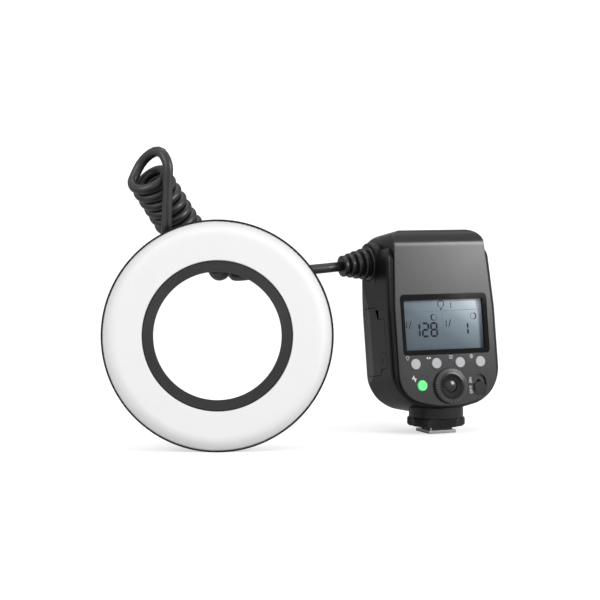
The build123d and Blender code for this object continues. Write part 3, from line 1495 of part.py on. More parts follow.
def lead_path():
    """Straight runs joined by the largest arcs that they leave room for."""
    points = [Vector(p) for p in lead_route()]
    runs = [b - a for a, b in zip(points, points[1:])]
    radii = []
    for a, b in zip(runs, runs[1:]):
        turn = math.radians(a.get_angle(b))
        radii.append(0.45 * min(a.length, b.length) / math.tan(turn / 2))
    print("lead's radii", [round(r) for r in radii])
    return FilletPolyline(*points, radius=radii)


def report_coil(edges, solid):
    """Prints the coil's tightest arc, its length, its volume and its least gap to itself."""
    radii = [e.radius for e in edges if e.geom_type == GeomType.CIRCLE]
    length = sum(e.length for e in edges)
    print("coil: tightest arc", round(min(radii), 2), "length", round(length))
    print("volume", round(solid.volume), "against", round(math.pi * CORD_R**2 * length))
    points = []
    for edge in edges:
        count = max(2, round(edge.length / CORD_R * 2))
        points += [tuple(edge @ (i / count)) for i in range(count)]
    steps = [math.dist(a, b) for a, b in zip(points, points[1:])]
    along = [0]
    for step in steps:
        along.append(along[-1] + step)
    near = 2 * math.pi * COIL_R / 3
    least = min(
        math.dist(p, q)
        for i, p in enumerate(points)
        for j, q in enumerate(points[i + 1 :], i + 1)
        if along[j] - along[i] > near
    )
    print("least gap of the coil to itself", round(least - 2 * CORD_R, 2))


def main():
    os.makedirs("parts", exist_ok=True)
    shoulders = cheeks()
    outer = shoulders + band()
    outer_with_boss = outer + boss()
    save("main_shell", main_shell(outer_with_boss), BODY)
    save("rear_cover", rear_cover(outer_with_boss), BODY)
    save("front_cover", front_cover(), BODY)
    save("lcd_window", lcd_window(), BODY)
    save("lcd_module", lcd_module(), BODY)
    for name, x in zip(("button_lamp", "button_arrows", "button_menu", "button_ratio"), KEY_XS):
        save(name, key(x, KEY_Z), BODY)
    save("test_button", key(TEST_X, TEST_Z), BODY)
    save("keypad_board", keypad_board(), BODY)
    save("dial", dial(), BODY)
    save("dial_encoder", dial_encoder(), BODY)
    save("set_button", set_button(), BODY)
    save("power_switch", power_switch(), BODY)
    save("switch_module", switch_module(), BODY)
    save("main_board", main_board(), BODY)
    save("transformer", transformer(), BODY)
    save("flash_capacitor", flash_capacitor(), BODY)
    save("battery_case", battery_case(outer), BODY)
    save("battery_terminals", battery_terminals(), BODY)
    save("battery_latch", battery_latch(outer), BODY)
    save("latch_spring", latch_spring(), BODY)
    save("bay_contacts", bay_contacts(), BODY)
    save("port_cover", port_cover(outer), BODY)
    save("socket_block", socket_block(), BODY)
    save("cable_boot", cable_boot(), boot_place())
    save("case_screws", case_screws(), BODY)
    save("pedestal", pedestal(outer), UNIT)
    save("lock_ring", lock_ring(), UNIT)
    save("foot_block", foot_block(), UNIT)
    save("lock_pin", lock_pin(), UNIT)
    save("shoe_contacts", shoe_contacts(), UNIT)
    save("foot_plate", foot_plate(), UNIT)
    save("foot_screws", foot_screws(), UNIT)
    save("ring_shell", ring_shell() + gland(), RING)
    save("ring_screws", ring_screws(), RING)
    save("diffuser", diffuser(), RING)
    save("inner_cone", inner_cone(), RING)
    for name, middle in (("right", 0), ("left", 180)):
        save("reflector_" + name, reflector(middle), RING)
        save("flash_tube_" + name, flash_tube(middle), RING)
    save("tube_holders", tube_holders(), RING)
    save("led_boards", led_boards(), RING)
    save("led_chips", led_chips(), RING)
    save("mount_collar", mount_collar(), RING)
    for name, side, level in (("left", 1, 0), ("right", -1, 1)):
        save("release_" + name, release_plate(side, level), RING)
        save("release_springs_" + name, release_springs(side, level), RING)
    save("ring_boot", ring_boot(), ring_boot_place())
    start, rise, top = tail_ends()
    save("cord_tail", tube([Edge.make_line(Vector(start), Vector(top))], CORD_R), Pos(0, 0, 0))
    edges = coil_edges()
    coil = tube(edges, CORD_R)
    save("cord_coil", coil, Pos(0, 0, 0))
    report_coil(edges, coil)
    path = lead_path()
    save("cord_lead", tube(path.edges(), CORD_R), Pos(0, 0, 0))


main()
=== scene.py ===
# %% [markdown]
# A macro ring flash, dressed for a studio picture. The object is a round lamp head that sits on a
# lens, a control unit that sits in a camera's shoe, and a curly cord between the two. The shapes
# of the hard parts come packed from the CAD model. This lesson adds what makes them look real: the
# cord as one smooth tube, the display's figures, the printed signs, soft rubber boots, a domed
# button, and a finish for every part.

# %% Load the packed model
import math

import bpy
import numpy as np
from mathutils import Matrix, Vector


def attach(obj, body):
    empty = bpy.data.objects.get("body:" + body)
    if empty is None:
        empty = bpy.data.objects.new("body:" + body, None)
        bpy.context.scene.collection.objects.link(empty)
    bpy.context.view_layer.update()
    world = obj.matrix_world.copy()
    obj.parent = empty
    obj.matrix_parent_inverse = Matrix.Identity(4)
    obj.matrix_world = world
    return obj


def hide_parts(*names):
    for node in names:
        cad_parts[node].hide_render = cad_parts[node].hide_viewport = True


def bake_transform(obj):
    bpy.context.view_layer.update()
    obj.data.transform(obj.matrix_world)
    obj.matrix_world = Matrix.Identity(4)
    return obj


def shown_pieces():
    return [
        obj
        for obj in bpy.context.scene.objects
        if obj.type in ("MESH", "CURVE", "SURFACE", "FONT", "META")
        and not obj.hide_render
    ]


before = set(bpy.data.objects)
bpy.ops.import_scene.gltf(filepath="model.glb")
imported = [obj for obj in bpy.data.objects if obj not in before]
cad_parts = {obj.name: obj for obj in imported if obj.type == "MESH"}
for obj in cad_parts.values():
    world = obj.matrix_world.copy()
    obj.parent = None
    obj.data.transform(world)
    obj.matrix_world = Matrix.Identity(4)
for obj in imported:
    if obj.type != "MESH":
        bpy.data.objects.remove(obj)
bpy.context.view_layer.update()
print("CAD nodes:", len(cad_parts))

# %% [markdown]
# The unit is turned on its foot and leans back, and the ring leans back on the floor. It is easier
# to think in each part's own frame: for the unit x runs to its right, y to its back and z up along
# its lean, and for the ring x runs right, y up and z forward out of its face. Two small functions
# take millimetres in such a frame to metres in the shared frame.

# %% The two frames
UNIT_YAW = 22
UNIT_LEAN = 9
RING_LEAN = 4.77
RING_CENTRE = np.array([-135.0, -85.2, 67.03])


def turned(axis, degrees):
    """The matrix of a turn about x or z: cosines on the diagonal, sines beside them."""
    c, s = math.cos(math.radians(degrees)), math.sin(math.radians(degrees))
    if axis == "x":
        return np.array([[1, 0, 0], [0, c, -s], [0, s, c]])
    return np.array([[c, -s, 0], [s, c, 0], [0, 0, 1]])


UNIT_TURN = turned("z", UNIT_YAW) @ turned("x", -UNIT_LEAN)
RING_TURN = turned("x", 90 - RING_LEAN)


def on_unit(points):
    """The unit's millimetres to metres: turn each point, then divide by a thousand."""
    return np.asarray(points, float) @ UNIT_TURN.T / 1000


def on_ring(points):
    """The ring's millimetres to metres: turn each point, move it to the ring's centre, divide."""
    return (np.asarray(points, float) @ RING_TURN.T + RING_CENTRE) / 1000


print("the unit's front looks along", np.round(-UNIT_TURN[:, 1], 3))

# %% [markdown]
# The photograph was taken with a long lens, straight in front of the ring's middle and a little
# from above. A camera matched to it comes first, because everything is judged through it.

# %% Camera
LOOKS_DOWN = 3.76
LOOKS_RIGHT = 2.299
camera_data = bpy.data.cameras.new("camera")
camera_data.lens = 123.0
camera_data.sensor_width = 36.0
camera_data.clip_start = 0.05
camera_data.clip_end = 20.0
camera = bpy.data.objects.new("camera", camera_data)
camera.location = (-0.1347, -1.2574, 0.1646)
camera.rotation_euler = (math.radians(90 - LOOKS_DOWN), 0, math.radians(-LOOKS_RIGHT))
bpy.context.scene.collection.objects.link(camera)
bpy.context.scene.camera = camera
bpy.context.scene.view_settings.view_transform = "Standard"
print("camera at", tuple(camera.location))

# %% [markdown]
# Most new pieces are a grid of points: rows along one parameter and columns round the other. One
# helper turns such a grid into a closed mesh. The columns join round, the ends close to a point,
# and the rows run so that the faces look outwards.

# %% A closed skin over a grid of points


def add_piece(name, points, faces, smooth=True):
    """A mesh object at the origin from points in metres and lists of corner numbers."""
    mesh = bpy.data.meshes.new(name)
    mesh.from_pydata(np.asarray(points, float).reshape(-1, 3).tolist(), [], faces)
    mesh.polygons.foreach_set("use_smooth", np.full(len(mesh.polygons), smooth))
    mesh.validate()
    mesh.update()
    piece = bpy.data.objects.new(name, mesh)
    bpy.context.scene.collection.objects.link(piece)
    return piece


def skin(name, rows, start, end):
    """Rows of points joined to their neighbours, row i to row i + 1 and column j to column j + 1
    with the last column joined to the first, and fans of triangles from both end points."""
    count, around = rows.shape[:2]
    i, j = np.meshgrid(np.arange(count - 1), np.arange(around), indexing="ij")
    k = (j + 1) % around
    low_row, high_row = i * around, (i + 1) * around
    quads = np.stack([low_row + j, low_row + k, high_row + k, high_row + j], -1)
    ring = np.arange(around)
    after = (ring + 1) % around
    start_point, end_point = count * around, count * around + 1
    first = np.stack([np.full(around, start_point), after, ring], -1)
    last_row = (count - 1) * around
    last = np.stack([np.full(around, end_point), last_row + ring, last_row + after], -1)
    faces = quads.reshape(-1, 4).tolist() + first.tolist() + last.tolist()
    points = np.concatenate([rows.reshape(-1, 3), [start], [end]])
    return add_piece(name, points, faces)


print("the skin helper is ready")

# %% [markdown]
# The cord is one piece of wire 6 mm thick. It stands up out of the ring's back, loops over itself,
# falls in eleven tight curls towards the unit, and runs straight into the boot on the unit's
# shoulder. The curls wind round a bent axis. Seven points give the axis, and a smooth curve goes
# through them, because few points are easy to move and the curve between them bends evenly. All
# these lengths are in millimetres.

# %% The coil's axis
COIL_AXIS = np.array(
    [
        (-176.2, -38.5, 158.3),
        (-166.8, -28, 143.2),
        (-157.4, -17.5, 127.9),
        (-147.2, -9, 115.7),
        (-135.2, -3, 107.8),
        (-121.3, 2, 106.2),
        (-107.5, 6.5, 106),
    ]
)


def unit_length(v):
    """Each vector divided by its length."""
    return v / np.linalg.norm(v, axis=-1, keepdims=True)


def axis_at(distance):
    """Points of a smooth curve through COIL_AXIS: on each span a cubic that keeps to the span's
    ends and to the direction from the point before to the point after."""
    spans = np.linalg.norm(np.diff(COIL_AXIS, axis=0), axis=1)
    starts = np.concatenate([[0], np.cumsum(spans)[:-1]])
    i = np.clip(np.searchsorted(starts, distance, side="right") - 1, 0, len(spans) - 1)
    t = ((distance - starts[i]) / spans[i])[:, None]
    last = len(COIL_AXIS) - 1
    a, b = COIL_AXIS[i], COIL_AXIS[i + 1]
    leave = unit_length(b - COIL_AXIS[np.maximum(i - 1, 0)]) * spans[i][:, None]
    reach = unit_length(COIL_AXIS[np.minimum(i + 2, last)] - a) * spans[i][:, None]
    share = (2 * t**3 - 3 * t**2 + 1) * a + (3 * t**2 - 2 * t**3) * b
    return share + (t**3 - 2 * t**2 + t) * leave + (t**3 - t**2) * reach


print("the axis after 50 mm is at", axis_at(np.array([50.0]))[0].round(1).tolist())

# %% [markdown]
# The curls are a helix round that axis: a point turns steadily while its centre moves on. The
# pitch, the way from one turn to the next, is little more than the wire's 6 mm at the ring, where
# the coil is closed, and opens towards the unit. A list of pitches, one for each turn, is the
# plainest way to say that. Twenty points to a turn are enough, because the spline rounds them.

# %% The curls
COIL_R = 10.3
COIL_PITCHES = np.array([7, 6.75, 6.7, 6.7, 6.75, 6.9, 7.2, 8.2, 9.6, 10.2, 10.6, 10])
COIL_TURNS = len(COIL_PITCHES) - 1 + 62 / 360
COIL_START = math.radians(200)
CURL_POINTS = 20
LOOK_AHEAD = 0.3


def helix(turns):
    """Points of the winding: the axis point after that many pitches, plus the coil's radius times
    the cosine of the angle sideways and the sine of it upwards. The axis runs towards its own
    point a short look ahead."""
    done = np.concatenate([[0], np.cumsum(COIL_PITCHES)])
    distance = np.interp(turns, np.arange(len(done)), done)
    centre = axis_at(distance)
    d = unit_length(axis_at(distance + LOOK_AHEAD) - centre)
    side = unit_length(np.stack([d[:, 1], -d[:, 0], np.zeros(len(d))], -1))
    up = np.cross(side, d)
    angle = (COIL_START + 2 * math.pi * turns)[:, None]
    return centre + COIL_R * (np.cos(angle) * side + np.sin(angle) * up)


curls = helix(np.linspace(0, COIL_TURNS, round(COIL_TURNS * CURL_POINTS) + 1))
print("points on the curls:", len(curls))

# %% [markdown]
# A few given points lead into the curls and out of them. Through all the points runs one NURBS
# spline, a curve that only leans towards its points, so it has no kink where the parts meet.
# Blender can make a curve round by a bevel. Here only the curve's points are read, because a tube
# built by hand can also keep where each of its points lies along the cord.

# %% The cord's line
TAIL = [(-165.05, -50.4, 121.7), (-164.4, -50.4, 140), (-163.8, -50.4, 157.7)]
LOOP = [(-163.5, -50.6, 166), (-168.8, -45.4, 174.6), (-179.2, -31.6, 168.3)]
LEAD = [(-106.4, -15.8, 99.3), (-101, -14.3, 99.6), (-78.9, -8.1, 100.8), (-58.7, 0.34, 102.5)]
route = np.concatenate([TAIL, LOOP, curls, LEAD]) / 1000
line_data = bpy.data.curves.new("cord_line", "CURVE")
line_data.dimensions = "3D"
spline = line_data.splines.new("NURBS")
spline.points.add(len(route) - 1)
spline.points.foreach_set("co", np.column_stack([route, np.ones(len(route))]).ravel())
spline.order_u = 3
spline.use_endpoint_u = True
spline.resolution_u = 4
line = bpy.data.objects.new("cord_line", line_data)
line_mesh = bpy.data.meshes.new_from_object(line)
centres = np.empty(len(line_mesh.vertices) * 3)
line_mesh.vertices.foreach_get("co", centres)
centres = centres.reshape(-1, 3)
bpy.data.objects.remove(line)
bpy.data.meshes.remove(line_mesh)
print("control points:", len(route), "points read from the spline:", len(centres))

# %% [markdown]
# Round each point of that line goes a ring of 20 points. The rings must not twist against each
# other, or the skin would wring like a wet cloth, so each ring's side direction is the one before
# with only the part along the new tangent taken away. The tube also keeps where each point would
# lie if the cord were pulled straight, so that the rubber's grain follows the cord.

# %% A tube that doesn't wring


def sides_along(tangents):
    """A side direction for each tangent: the last one less its part along the new tangent."""
    side = np.cross(tangents[0], (0, 1, 0))
    kept = []
    for tangent in tangents:
        side = side - tangent * (side @ tangent)
        side = side / np.linalg.norm(side)
        kept.append(side)
    return np.array(kept)


def tube(name, path, radius, around):
    """A round tube: path point plus radius times (cosine along the side direction plus sine along
    the one square to it)."""
    tangents = unit_length(np.gradient(path, axis=0))
    side = sides_along(tangents)
    other = np.cross(tangents, side)
    a = np.linspace(0, 2 * math.pi, around, endpoint=False)[None, :, None]
    rows = path[:, None] + radius * (np.cos(a) * side[:, None] + np.sin(a) * other[:, None])
    piece = skin(name, rows, path[0], path[-1])
    along = np.concatenate([[0], np.cumsum(np.linalg.norm(np.diff(path, axis=0), axis=1))])
    straight = np.zeros((len(path), around, 3))
    straight[..., 0] = along[:, None]
    straight[..., 1] = radius * np.cos(a[..., 0])
    straight[..., 2] = radius * np.sin(a[..., 0])
    ends = [(along[0], 0, 0), (along[-1], 0, 0)]
    store = piece.data.attributes.new("straight", "FLOAT_VECTOR", "POINT")
    store.data.foreach_set("vector", np.concatenate([straight.reshape(-1, 3), ends]).ravel())
    return piece, along[-1]


print("side directions of a line that runs up:", sides_along(np.array([[0, 0, 1.0]] * 2)).tolist())

# %% [markdown]
# The cord is the one soft piece. It takes the place of the CAD model's three solid pieces of cord,
# which can't bend.

# %% The cord
CORD_D = 0.006
CORD_SIDES = 20
cord, cord_length = tube("cord", centres, CORD_D / 2, CORD_SIDES)
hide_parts("cord_tail", "cord_coil", "cord_lead")
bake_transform(cord)
print("the cord measures", round(cord_length, 4), "m")

# %% [markdown]
# Both ends of the cord leave through a rubber boot with ribs. The real ribs are moulded soft, with
# round tops and round valleys, so each boot is turned from a profile instead of keeping the CAD
# model's square steps: the radius shrinks evenly along the boot, and a wave takes a little off it
# between two ribs. The ribs take a little more than half of the length, and the last one ends the
# boot.

# %% A lathe and a ribbed profile
LATHE_SIDES = 72
RIB_SHARE = 0.52
LAST_RIB = 0.56
RIB_EDGE = 0.25


def lathe(name, profile, place):
    """A surface of revolution: each (radius, height) of the profile goes round in a circle."""
    a = np.linspace(0, 2 * math.pi, LATHE_SIDES, endpoint=False)
    radius, height = profile[:, 0][:, None], profile[:, 1][:, None]
    rows = np.stack(np.broadcast_arrays(radius * np.cos(a), radius * np.sin(a), height), -1)
    return skin(name, place(rows), place((0, 0, profile[0, 1])), place((0, 0, profile[-1, 1])))


def ribbed_profile(length, base, tip, ribs, waist):
    """Radius against height: from base to tip rib by rib, less the waist times a rounded wave that
    is zero on each rib and one in each valley, and less a little at both edges of a rib."""
    face = (ribs - 1 + LAST_RIB) * length / ribs
    height = np.linspace(0, face, 40 * ribs)
    step, phase = np.divmod(height / length * ribs, 1)
    valley = np.clip((phase - RIB_SHARE) / (1 - RIB_SHARE), 0, 1)
    wave = np.sin(np.pi * valley) ** 0.7
    radius = base + (tip - base) * (step + valley) / (ribs - 1)
    top = np.sin(np.pi * np.clip(phase / RIB_SHARE, 0, 1)) ** 0.5
    edge = RIB_EDGE * (1 - top) * (phase < RIB_SHARE)
    return np.column_stack([radius - waist * wave - edge, height])


print("points in a profile of two ribs:", len(ribbed_profile(10, 5, 4, 2, 1)))

# %% [markdown]
# The unit's boot sits where the cord leaves the left shoulder. It points to the left and a little
# down, the way that the cord pulls it. It has five coarse ribs.

# %% The unit's boot
BOOT_SEAT = np.array([-34.7, 6.0, 106.3])
BOOT_DROOP = 4.5
BOOT_TURN = math.radians(-90 - BOOT_DROOP)


def at_boot(points):
    """The unit's boot: its own height runs out of the shoulder to the left and a little down."""
    c, s = math.cos(BOOT_TURN), math.sin(BOOT_TURN)
    p = np.asarray(points, float)
    lain = np.stack([c * p[..., 0] + s * p[..., 2], p[..., 1], -s * p[..., 0] + c * p[..., 2]], -1)
    return on_unit(lain + BOOT_SEAT)


profile = ribbed_profile(length=21.55, base=10.6, tip=6.6, ribs=5, waist=2.3)
unit_boot = lathe("unit_boot", profile, at_boot)
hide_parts("cable_boot")
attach(unit_boot, "unit")
print("points in the unit's boot:", len(unit_boot.data.vertices))

# %% [markdown]
# The ring's boot is half as long and stands on the ring's back, hidden behind the bright front. It
# has a frame of its own, because the ring leans back and the boot stands upright.

# %% The ring's boot
RING_BOOT_SEAT = np.array([-30.4, 47.4, -31.0])
RING_BOOT_TILT = -2
RING_BOOT_LIFT = 0.2


def at_ring_boot(points):
    """The ring's boot: it stands upright on the ring's back and leans a little to the right."""
    stand, tilt = turned("x", RING_LEAN - 90), turned("z", RING_BOOT_TILT)
    return on_ring(np.asarray(points, float) @ stand.T @ tilt.T + RING_BOOT_SEAT)


profile = ribbed_profile(length=11, base=5.2, tip=4.4, ribs=4, waist=0.8)
ring_boot = lathe("ring_boot_soft", profile + (0, RING_BOOT_LIFT), at_ring_boot)
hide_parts("ring_boot")
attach(ring_boot, "ring_head")
print("points in the ring's boot:", len(ring_boot.data.vertices))

# %% [markdown]
# The button in the middle of the dial is domed and polished. Its cap is turned from a profile too:
# a straight side, then a crown that is a quarter of a flat ellipse.

# %% The domed button
DIAL_MIDDLE = np.array([0.5, 0, 27.1])
CAP_R = 4.2
CAP_BACK = 14.75
CROWN_FOOT = 22.7
CROWN_RISE = 1.4


def at_dial(points):
    """The dial's frame: its height runs forward, out of the unit's panel."""
    p = np.asarray(points, float)
    return on_unit(np.stack([p[..., 0], -p[..., 2], p[..., 1]], -1) + DIAL_MIDDLE)


t = np.linspace(0, math.radians(86), 20)
crown = np.column_stack([CAP_R * np.cos(t), CROWN_FOOT + CROWN_RISE * np.sin(t)])
cap_profile = np.concatenate([[(CAP_R, CAP_BACK), (CAP_R, 18.0)], crown])
set_cap = lathe("set_button_cap", cap_profile, at_dial)
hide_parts("set_button")
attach(set_cap, "set_button")

# %% [markdown]
# The display shows dark figures on pale glass, and the panel has small white signs beside its
# keys. An image could show both, but drawn shapes stay sharp from near, so each sign is a few
# outlines in the panel's x and height. A line of even width is the basic stroke: at each corner it
# is widened along the corner's bisector.

# %% Strokes and circles


def stroke(points, width, closed=False):
    """Corners of the small quads that make a line: each point moved half the width to both sides,
    along the sum of the normals of its two runs, and longer where the corner is sharp."""
    p = np.asarray(points, float)
    runs = np.roll(p, -1, axis=0) - p
    normals = unit_length(np.column_stack([-runs[:, 1], runs[:, 0]]))
    before = np.roll(normals, 1, axis=0)
    if not closed:
        normals[-1] = normals[-2]
        before[0] = normals[0]
    mean = unit_length(normals + before)
    reach = width / 2 / np.clip((mean * normals).sum(1), 0.4, 1)[:, None]
    left, right = p + mean * reach, p - mean * reach
    ends = range(len(p)) if closed else range(len(p) - 1)
    return [[left[i], right[i], right[(i + 1) % len(p)], left[(i + 1) % len(p)]] for i in ends]


def circle(x, z, radius, start=0, stop=360, steps=24):
    """Points on a circle: the centre plus the radius times cosine and sine of each angle."""
    a = np.radians(np.linspace(start, stop, steps + 1))
    return np.column_stack([x + radius * np.cos(a), z + radius * np.sin(a)])


print("a stroke of 3 points has", len(stroke([(0, 0), (1, 0), (1, 1)], 0.2)), "quads")

# %% [markdown]
# Print is a few hundredths of a millimetre thick. So each outline becomes a plate of that
# thickness, a hair in front of what it is printed on. A closed plate shows from every side and
# takes a finish like any other piece.

# %% Thin plates
PRINT_T = 0.04


def printed(name, shapes, depth):
    """A thin plate for each outline, its face at a depth in the unit's frame and its back a hair
    behind it, with sides between the two."""
    points, faces = [], []
    for shape in shapes:
        ring = np.asarray(shape, float)
        area = np.sum(ring[:, 0] * np.roll(ring[:, 1], -1) - ring[:, 1] * np.roll(ring[:, 0], -1))
        ring = ring if area > 0 else ring[::-1]
        n, at = len(ring), len(points)
        points += [(x, depth, z) for x, z in ring] + [(x, depth + PRINT_T, z) for x, z in ring]
        faces.append([at + k for k in range(n)])
        faces.append([at + n + k for k in reversed(range(n))])
        faces += [[at + k, at + n + k, at + n + (k + 1) % n, at + (k + 1) % n] for k in range(n)]
    piece = add_piece(name, on_unit(points), faces, smooth=False)
    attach(piece, "unit")


print("a printed plate is", PRINT_T, "mm thick")

# %% [markdown]
# A figure on such a display is made of seven bars with pointed ends and thin gaps between them.
# The table gives, for each figure, which bars are dark: top, upper left, upper right, middle,
# lower left, lower right, bottom.

# %% Figures of seven bars
BARS = {"1": "0010010", "2": "1011101", "8": "1111111"}


def bar_shape(a, b, width):
    """A bar from a to b with both ends cut to a point."""
    a, b = np.asarray(a, float), np.asarray(b, float)
    d = unit_length(b - a)
    n = np.array([-d[1], d[0]]) * width / 2
    c = d * width / 2
    return [a, a + c + n, b - c + n, b, b - c - n, a + c - n]


def figure(sign, x, z, height):
    """One figure, its lower left corner at x, z: half as wide as high, bars a sixth as thick."""
    w, h, bar, gap = height * 0.5, height, height * 0.16, height * 0.02
    corners = [(0, h), (w, h), (0, h / 2), (w, h / 2), (0, 0), (w, 0)]
    pairs = [(0, 1), (0, 2), (1, 3), (2, 3), (2, 4), (3, 5), (4, 5)]
    shapes = []
    for lit, (i, j) in zip(BARS[sign], pairs):
        a, b = np.array(corners[i]), np.array(corners[j])
        d = unit_length(b - a) * gap
        if lit == "1":
            shapes.append(np.array(bar_shape(a + d, b - d, bar)) + (x, z))
    return shapes


print("dark bars in an 8:", len(figure("8", 0, 0, 1)))

# %% [markdown]
# The display is laid out as a flash's often is: large figures in the middle, small ones with a
# stroke beside them, a column of dots, a lamp, and two rings with one half drawn thick. The
# numbers are plain ones, and thin faint rules part the fields. The rules are a piece of their own,
# because their ink is fainter.

# %% The display
LCD_FACE = -19.44


def half_ring(x, z, radius, side):
    """A pictogram of the lamp head: a whole thin ring, one half of it drawn thick."""
    middle = 180 if side == "left" else 0
    thick = circle(x, z, radius, middle - 66, middle + 66)
    return stroke(circle(x, z, radius)[:-1], 0.22, closed=True) + stroke(thick, 0.75)


def bulb(x, z, size, width):
    """A lamp: three quarters of a circle above a short neck of two lines."""
    glass = circle(x, z + size * 0.25, size * 0.5, -58, 238)
    neck = [(x - size * 0.2, z - size * 0.38), (x + size * 0.2, z - size * 0.38)]
    foot = [(x - size * 0.14, z - size * 0.56), (x + size * 0.14, z - size * 0.56)]
    return stroke(glass, width) + stroke(neck, width) + stroke(foot, width)


figures = figure("1", -20.6, 58.0, 8.0) + figure("2", -14.5, 58.0, 8.0)
figures += figure("8", -8.6, 58.0, 8.0) + figure("1", 13.3, 58.4, 7.2)
small = figure("1", -27.3, 63.2, 4.2) + figure("1", 0.0, 63.4, 4.2)
small += stroke([(-23.7, 63.0), (-22.0, 67.6)], 0.5) + stroke([(3.7, 63.2), (5.3, 68.0)], 0.5)
small += figure("1", 4.3, 74.8, 3.6) + bulb(-0.9, 76.6, 4.2, 0.5)
small += half_ring(-6.2, 69.5, 1.9, "left") + half_ring(21.2, 69.6, 1.9, "right")
small += [circle(24.2, z, 0.4, steps=10)[:-1] for z in (75.6, 77.2, 78.8)]
rules = stroke([(-26.8, 73.0), (26.2, 73.8)], 0.2) + stroke([(-0.3, 72.8), (-0.3, 51.0)], 0.2)
printed("display_figures", figures + small, LCD_FACE)
printed("display_rules", rules, LCD_FACE)
print("plates on the display:", len(figures + small + rules))

# %% [markdown]
# The signs on the panel are generic: a lamp, two arrows, three lines of a list, a ring split in
# two halves, a bolt, and the words ON and OFF beside the switch, turned to read upwards.

# %% The panel's signs
PANEL_FACE = -22.05
OVAL = [(0.15, 0), (0.6, 0), (0.75, 0.2), (0.75, 0.8), (0.6, 1), (0.15, 1), (0, 0.8), (0, 0.2)]
LETTERS = {
    "O": [(OVAL, True)],
    "N": [([(0, 0), (0, 1), (0.75, 0), (0.75, 1)], False)],
    "F": [([(0, 0), (0, 1), (0.7, 1)], False), ([(0, 0.52), (0.58, 0.52)], False)],
}


def word(text, x, z, height, width):
    """Letters one after another, turned a quarter to the left about x, z, so that they read up."""
    shapes = []
    for place, letter in enumerate(text):
        for points, closed in LETTERS[letter]:
            p = np.array(points, float) * height + (place * height * 1.15, 0)
            shapes += stroke(np.column_stack([x - p[:, 1], z + p[:, 0]]), width, closed)
    return shapes


def bolt(x, z, size):
    """A lightning bolt: two slanted triangles that overlap at the middle."""
    upper = np.array([(-0.05, 1.0), (-0.75, -0.1), (0.35, -0.1)]) * size
    lower = np.array([(-0.3, 0.15), (0.75, 0.15), (0.35, -1.0)]) * size
    return [upper + (x, z), lower + (x, z)]


THIN = 0.28
left_arrow = [(-14.9, 44.6), (-13.4, 43.8), (-13.4, 45.4)]
right_arrow = [(-11.3, 44.6), (-12.8, 45.4), (-12.8, 43.8)]
signs = bulb(-27.4, 44.9, 1.9, 0.26) + [left_arrow, right_arrow]
signs += [s for z in (43.9, 44.7, 45.5) for s in stroke([(1.1, z), (3.5, z)], THIN)]
signs += stroke(circle(16.6, 44.7, 0.95)[:-1], THIN, closed=True)
signs += stroke([(16.6, 43.2), (16.6, 46.2)], THIN)
signs += bolt(-23.9, 32.3, 2.2)
signs += word("OFF", 15.5, 22.1, 1.5, 0.3) + word("ON", 15.5, 28.6, 1.5, 0.3)
printed("panel_signs", signs, PANEL_FACE)
print("plates on the panel:", len(signs))

# %% [markdown]
# Every finish is a small graph of shader nodes. Written node by node such a graph is hard to read,
# so one class wraps a node's output: adding, multiplying and subtracting such signals adds the
# Math nodes, and one method adds any other node.

# %% Signals


class Signal:
    """One output of a shader node, to be used in sums like a number."""

    def __init__(self, tree, socket):
        self.tree = tree
        self.socket = socket

    def node(self, kind, settings=None, inputs=None, output=0):
        """Adds a node of a kind: its settings first, then a value or a link for each socket."""
        made = self.tree.nodes.new("ShaderNode" + kind)
        for key, value in (settings or {}).items():
            if key == "stops":
                stops = made.color_ramp.elements
                while len(stops) < len(value):
                    stops.new(0.5)
                for stop, (place, colour) in zip(stops, value):
                    stop.position = place
                    stop.color = (*colour, 1)
            else:
                setattr(made, key, value)
        for key, value in (inputs or {}).items():
            if isinstance(value, Signal):
                self.tree.links.new(value.socket, made.inputs[key])
            else:
                made.inputs[key].default_value = value
        return Signal(self.tree, made.outputs[output])

    def math(self, operation, a, b=0.0):
        """A Math node on two values."""
        return self.node("Math", {"operation": operation}, {0: a, 1: b})

    def __add__(self, other):
        return self.math("ADD", self, other)

    def __sub__(self, other):
        return self.math("SUBTRACT", self, other)

    def __rsub__(self, other):
        return self.math("SUBTRACT", other, self)

    def __mul__(self, other):
        return self.math("MULTIPLY", self, other)

    __radd__ = __add__
    __rmul__ = __mul__

    def above(self, edge, soft):
        """0 below the edge and 1 above it, with a soft step that wide."""
        inputs = {0: self, 1: edge - soft / 2, 2: edge + soft / 2}
        return self.node("MapRange", {"interpolation_type": "SMOOTHSTEP"}, inputs)

    def within(self, low, high, soft):
        """1 between two values and 0 outside them, with a soft step at both."""
        return self.above(low, soft) * (1 - self.above(high, soft))

    def either(self, other):
        """The larger of two signals: 1 where one of them is 1."""
        return self.math("MAXIMUM", self, other)

    def mixed(self, a, b):
        """Colour a where this signal is 0 and colour b where it is 1."""
        a, b = [c if isinstance(c, Signal) else (*c, 1) for c in (a, b)]
        return self.node("Mix", {"data_type": "RGBA"}, {0: self, 6: a, 7: b}, output=2)

    def part(self, axis):
        """One of a vector's three numbers."""
        return self.node("SeparateXYZ", {}, {0: self}, output="XYZ".index(axis))


print("a signal can be:", [name for name in vars(Signal) if not name.startswith("_")])

# %% [markdown]
# A second class holds a material, its one shader and the places that patterns are drawn in. Clouds
# and grain are drawn in the shared frame. A border or a row of teeth is drawn in the frame of the
# unit or of the ring, because there it lies straight. Nothing is unwrapped: a pattern that is
# drawn in space needs no seams.

# %% Finishes


